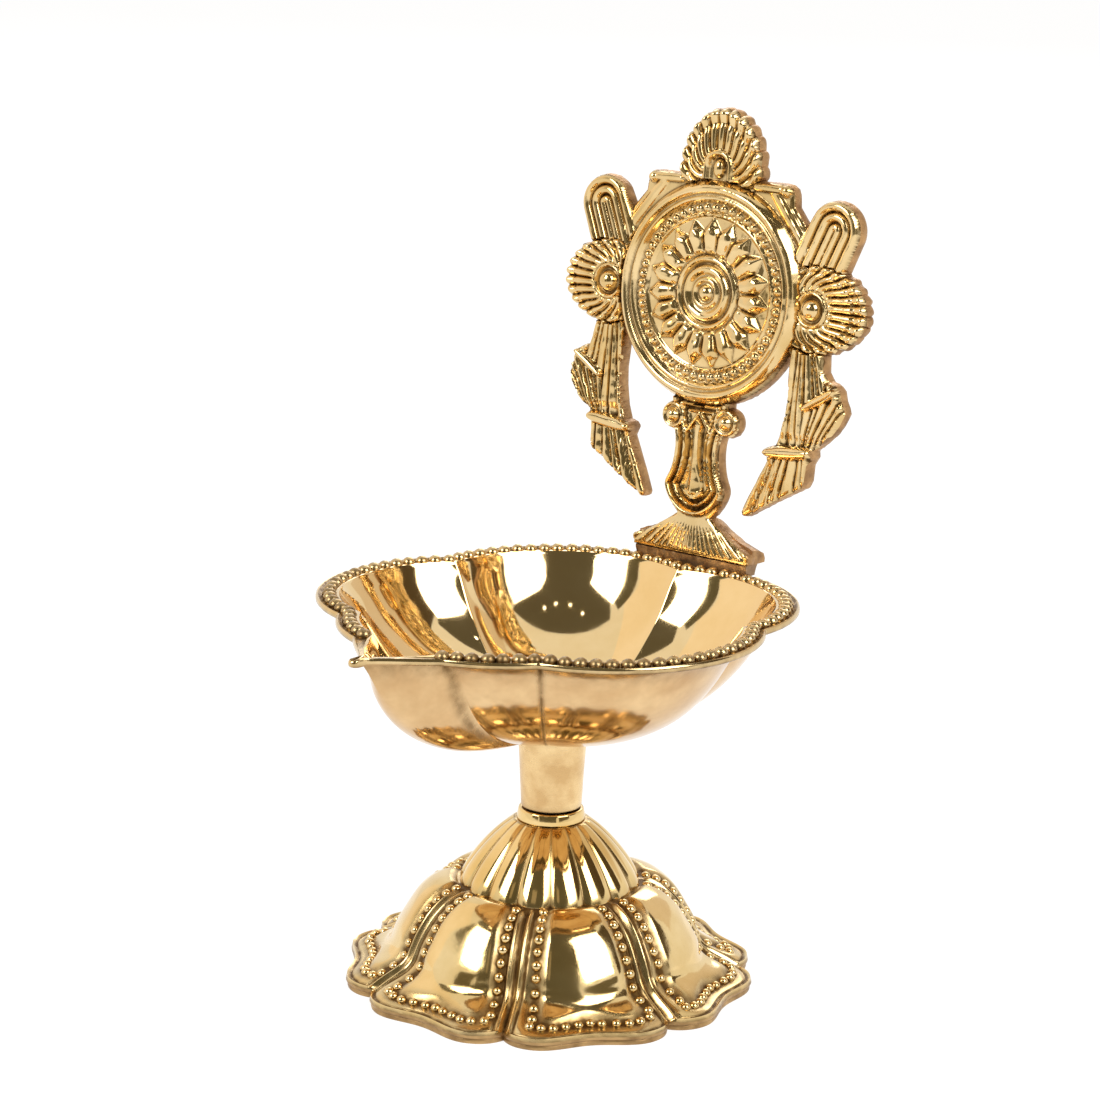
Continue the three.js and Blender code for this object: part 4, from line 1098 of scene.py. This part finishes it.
# Name, azimuth from -Y towards +X, elevation, distance, width, height, strength or colour
SOFTBOXES = [("left_box", -20, 40, 1.5, 0.66, 0.80, 5.5),
    ("right_box", 86, 42, 1.5, 0.85, 0.95, 4.2),
    ("back_box", -150, 30, 2.2, 1.2, 0.8, 2)]
CARDS = [("camera_side", 29, 30, 1.62, 1.95, 1.75, (0.135, 0.125, 0.088)),
    ("figure", 20, 33, 1.55, 0.34, 0.46, (0.42, 0.37, 0.28)),
    ("left_under", -15, 10, 1.45, 0.60, 0.42, (0.17, 0.15, 0.10)),
    ("right_under", 86, 10, 1.45, 1, 0.42, (0.17, 0.15, 0.10)),
    ("ceiling", 34, 71, 1.5, 2, 0.95, (0.13, 0.12, 0.09)),
    ("left_flag", -44, 38, 1.55, 0.25, 0.75, (0.13, 0.12, 0.08)),
    ("right_flag", 127, 36, 1.6, 0.85, 1.1, (0.10, 0.075, 0.045)),
    ("room_left", -82, 24, 2.4, 2.3, 2.4, (1.12, 1.03, 0.92)),
    ("room_back", 170, 34, 2.6, 1.7, 1.8, (0.84, 0.75, 0.66))]
CARDS += [("spot_%d" % turn, turn, 72, 1.4, 0.035, 0.035, (9, 9, 8.5)) for turn in (-17, 17, 50, 77)]


def camera():
    away = Vector((-math.sin(AZIMUTH), math.cos(AZIMUTH), 0))
    right = Vector((math.cos(AZIMUTH), math.sin(AZIMUTH), 0))
    forward = away * math.cos(PITCH) - Vector((0, 0, math.sin(PITCH)))
    up = Vector((0, 0, math.cos(PITCH))) + away * math.sin(PITCH)
    rolled_right = right * math.cos(ROLL) + up * math.sin(ROLL)
    rolled_up = up * math.cos(ROLL) - right * math.sin(ROLL)
    lens = bpy.data.cameras.new("camera")
    lens.sensor_width = 36
    lens.lens = LENS
    lens.shift_x, lens.shift_y = SHIFT
    lens.clip_start = 0.01
    place = Matrix((rolled_right, rolled_up, -forward)).transposed().to_4x4()
    place.translation = EYE
    eye = add_object("camera", lens)
    eye.matrix_world = place
    bpy.context.scene.camera = eye


def split_rays(tree, surface, lighting, shown):
    """Camera, mirror and glass rays see one shader. The scene is lit by the other."""
    path = tree.nodes.new("ShaderNodeLightPath")
    seen = maths(tree, "MAXIMUM", path.outputs["Is Camera Ray"], path.outputs["Is Glossy Ray"])
    seen = maths(tree, "MAXIMUM", seen, path.outputs["Is Transmission Ray"])
    tree.links.new(add_node(tree, "MixShader", {0: seen, 1: lighting, 2: shown}, "Shader"), surface)


def world():
    sky = bpy.data.worlds.new("studio")
    tree, surface = start(sky, "World")
    white = [add_node(tree, "Background", {"Color": (1, 1, 1, 1), "Strength": strength}, "Background")
             for strength in (0.6, 1.0)]
    split_rays(tree, surface, *white)
    bpy.context.scene.world = sky


def sheet(name, width, height, material):
    w, h = width / 2, height / 2
    mesh = bpy.data.meshes.new(name)
    mesh.from_pydata([(-w, -h, 0), (w, -h, 0), (w, h, 0), (-w, h, 0)], [], [(0, 1, 2, 3)])
    mesh.materials.append(material)
    return add_object(name, mesh)


def floor():
    material = bpy.data.materials.new("pale_floor")
    tree, surface = start(material)
    plain = add_node(tree, "BsdfDiffuse", {"Color": (0.85, 0.85, 0.84, 1)}, "BSDF")
    glow = add_node(tree, "Emission", {"Color": (1.0, 0.985, 0.96, 1), "Strength": 0.87}, "Emission")
    soft = add_node(tree, "BsdfDiffuse", {"Color": (0.20, 0.21, 0.23, 1)}, "BSDF")
    split_rays(tree, surface, plain, add_node(tree, "AddShader", {0: glow, 1: soft}, "Shader"))
    item = sheet("floor", 12, 12, material)


def aim(item, azimuth, elevation, distance):
    turn, rise = math.radians(azimuth), math.radians(elevation)
    way = Vector((math.sin(turn) * math.cos(rise), -math.cos(turn) * math.cos(rise), math.sin(rise)))
    item.location = LIT_POINT + way * distance
    item.rotation_euler = (LIT_POINT - item.location).to_track_quat("-Z", "Y").to_euler()


def softbox(name, azimuth, elevation, distance, width, height, strength):
    """A square lamp that mirrors show as an even white patch of that strength."""
    light = bpy.data.lights.new(name, "AREA")
    light.shape = "RECTANGLE"
    light.size = width
    light.size_y = height
    light.energy = 4 * strength * width * height
    aim(add_object(name, light), azimuth, elevation, distance)


def card(name, azimuth, elevation, distance, width, height, color):
    """A studio card that only mirrors see."""
    material = bpy.data.materials.new(name)
    tree, surface = start(material)
    tree.links.new(add_node(tree, "Emission", {"Color": (*color, 1)}, "Emission"), surface)
    item = sheet(name, width, height, material)
    aim(item, azimuth, elevation, distance)
    item.visible_camera = False
    item.visible_shadow = False
    item.visible_diffuse = False


bpy.context.scene.view_settings.view_transform = "Standard"
camera()
world()
floor()
for row in SOFTBOXES:
    softbox(*row)
for row in CARDS:
    card(*row)

petal_foot()
fluted_dome()
dome_collar()
stem_piece()
bowl_piece()
back_plate()
solder_seam()
for node in ("tie_stud", "foot_washer", "foot_nut"):
    materials = frame["nodes"][node].data.materials
    materials.clear()
    materials.append(STEEL)
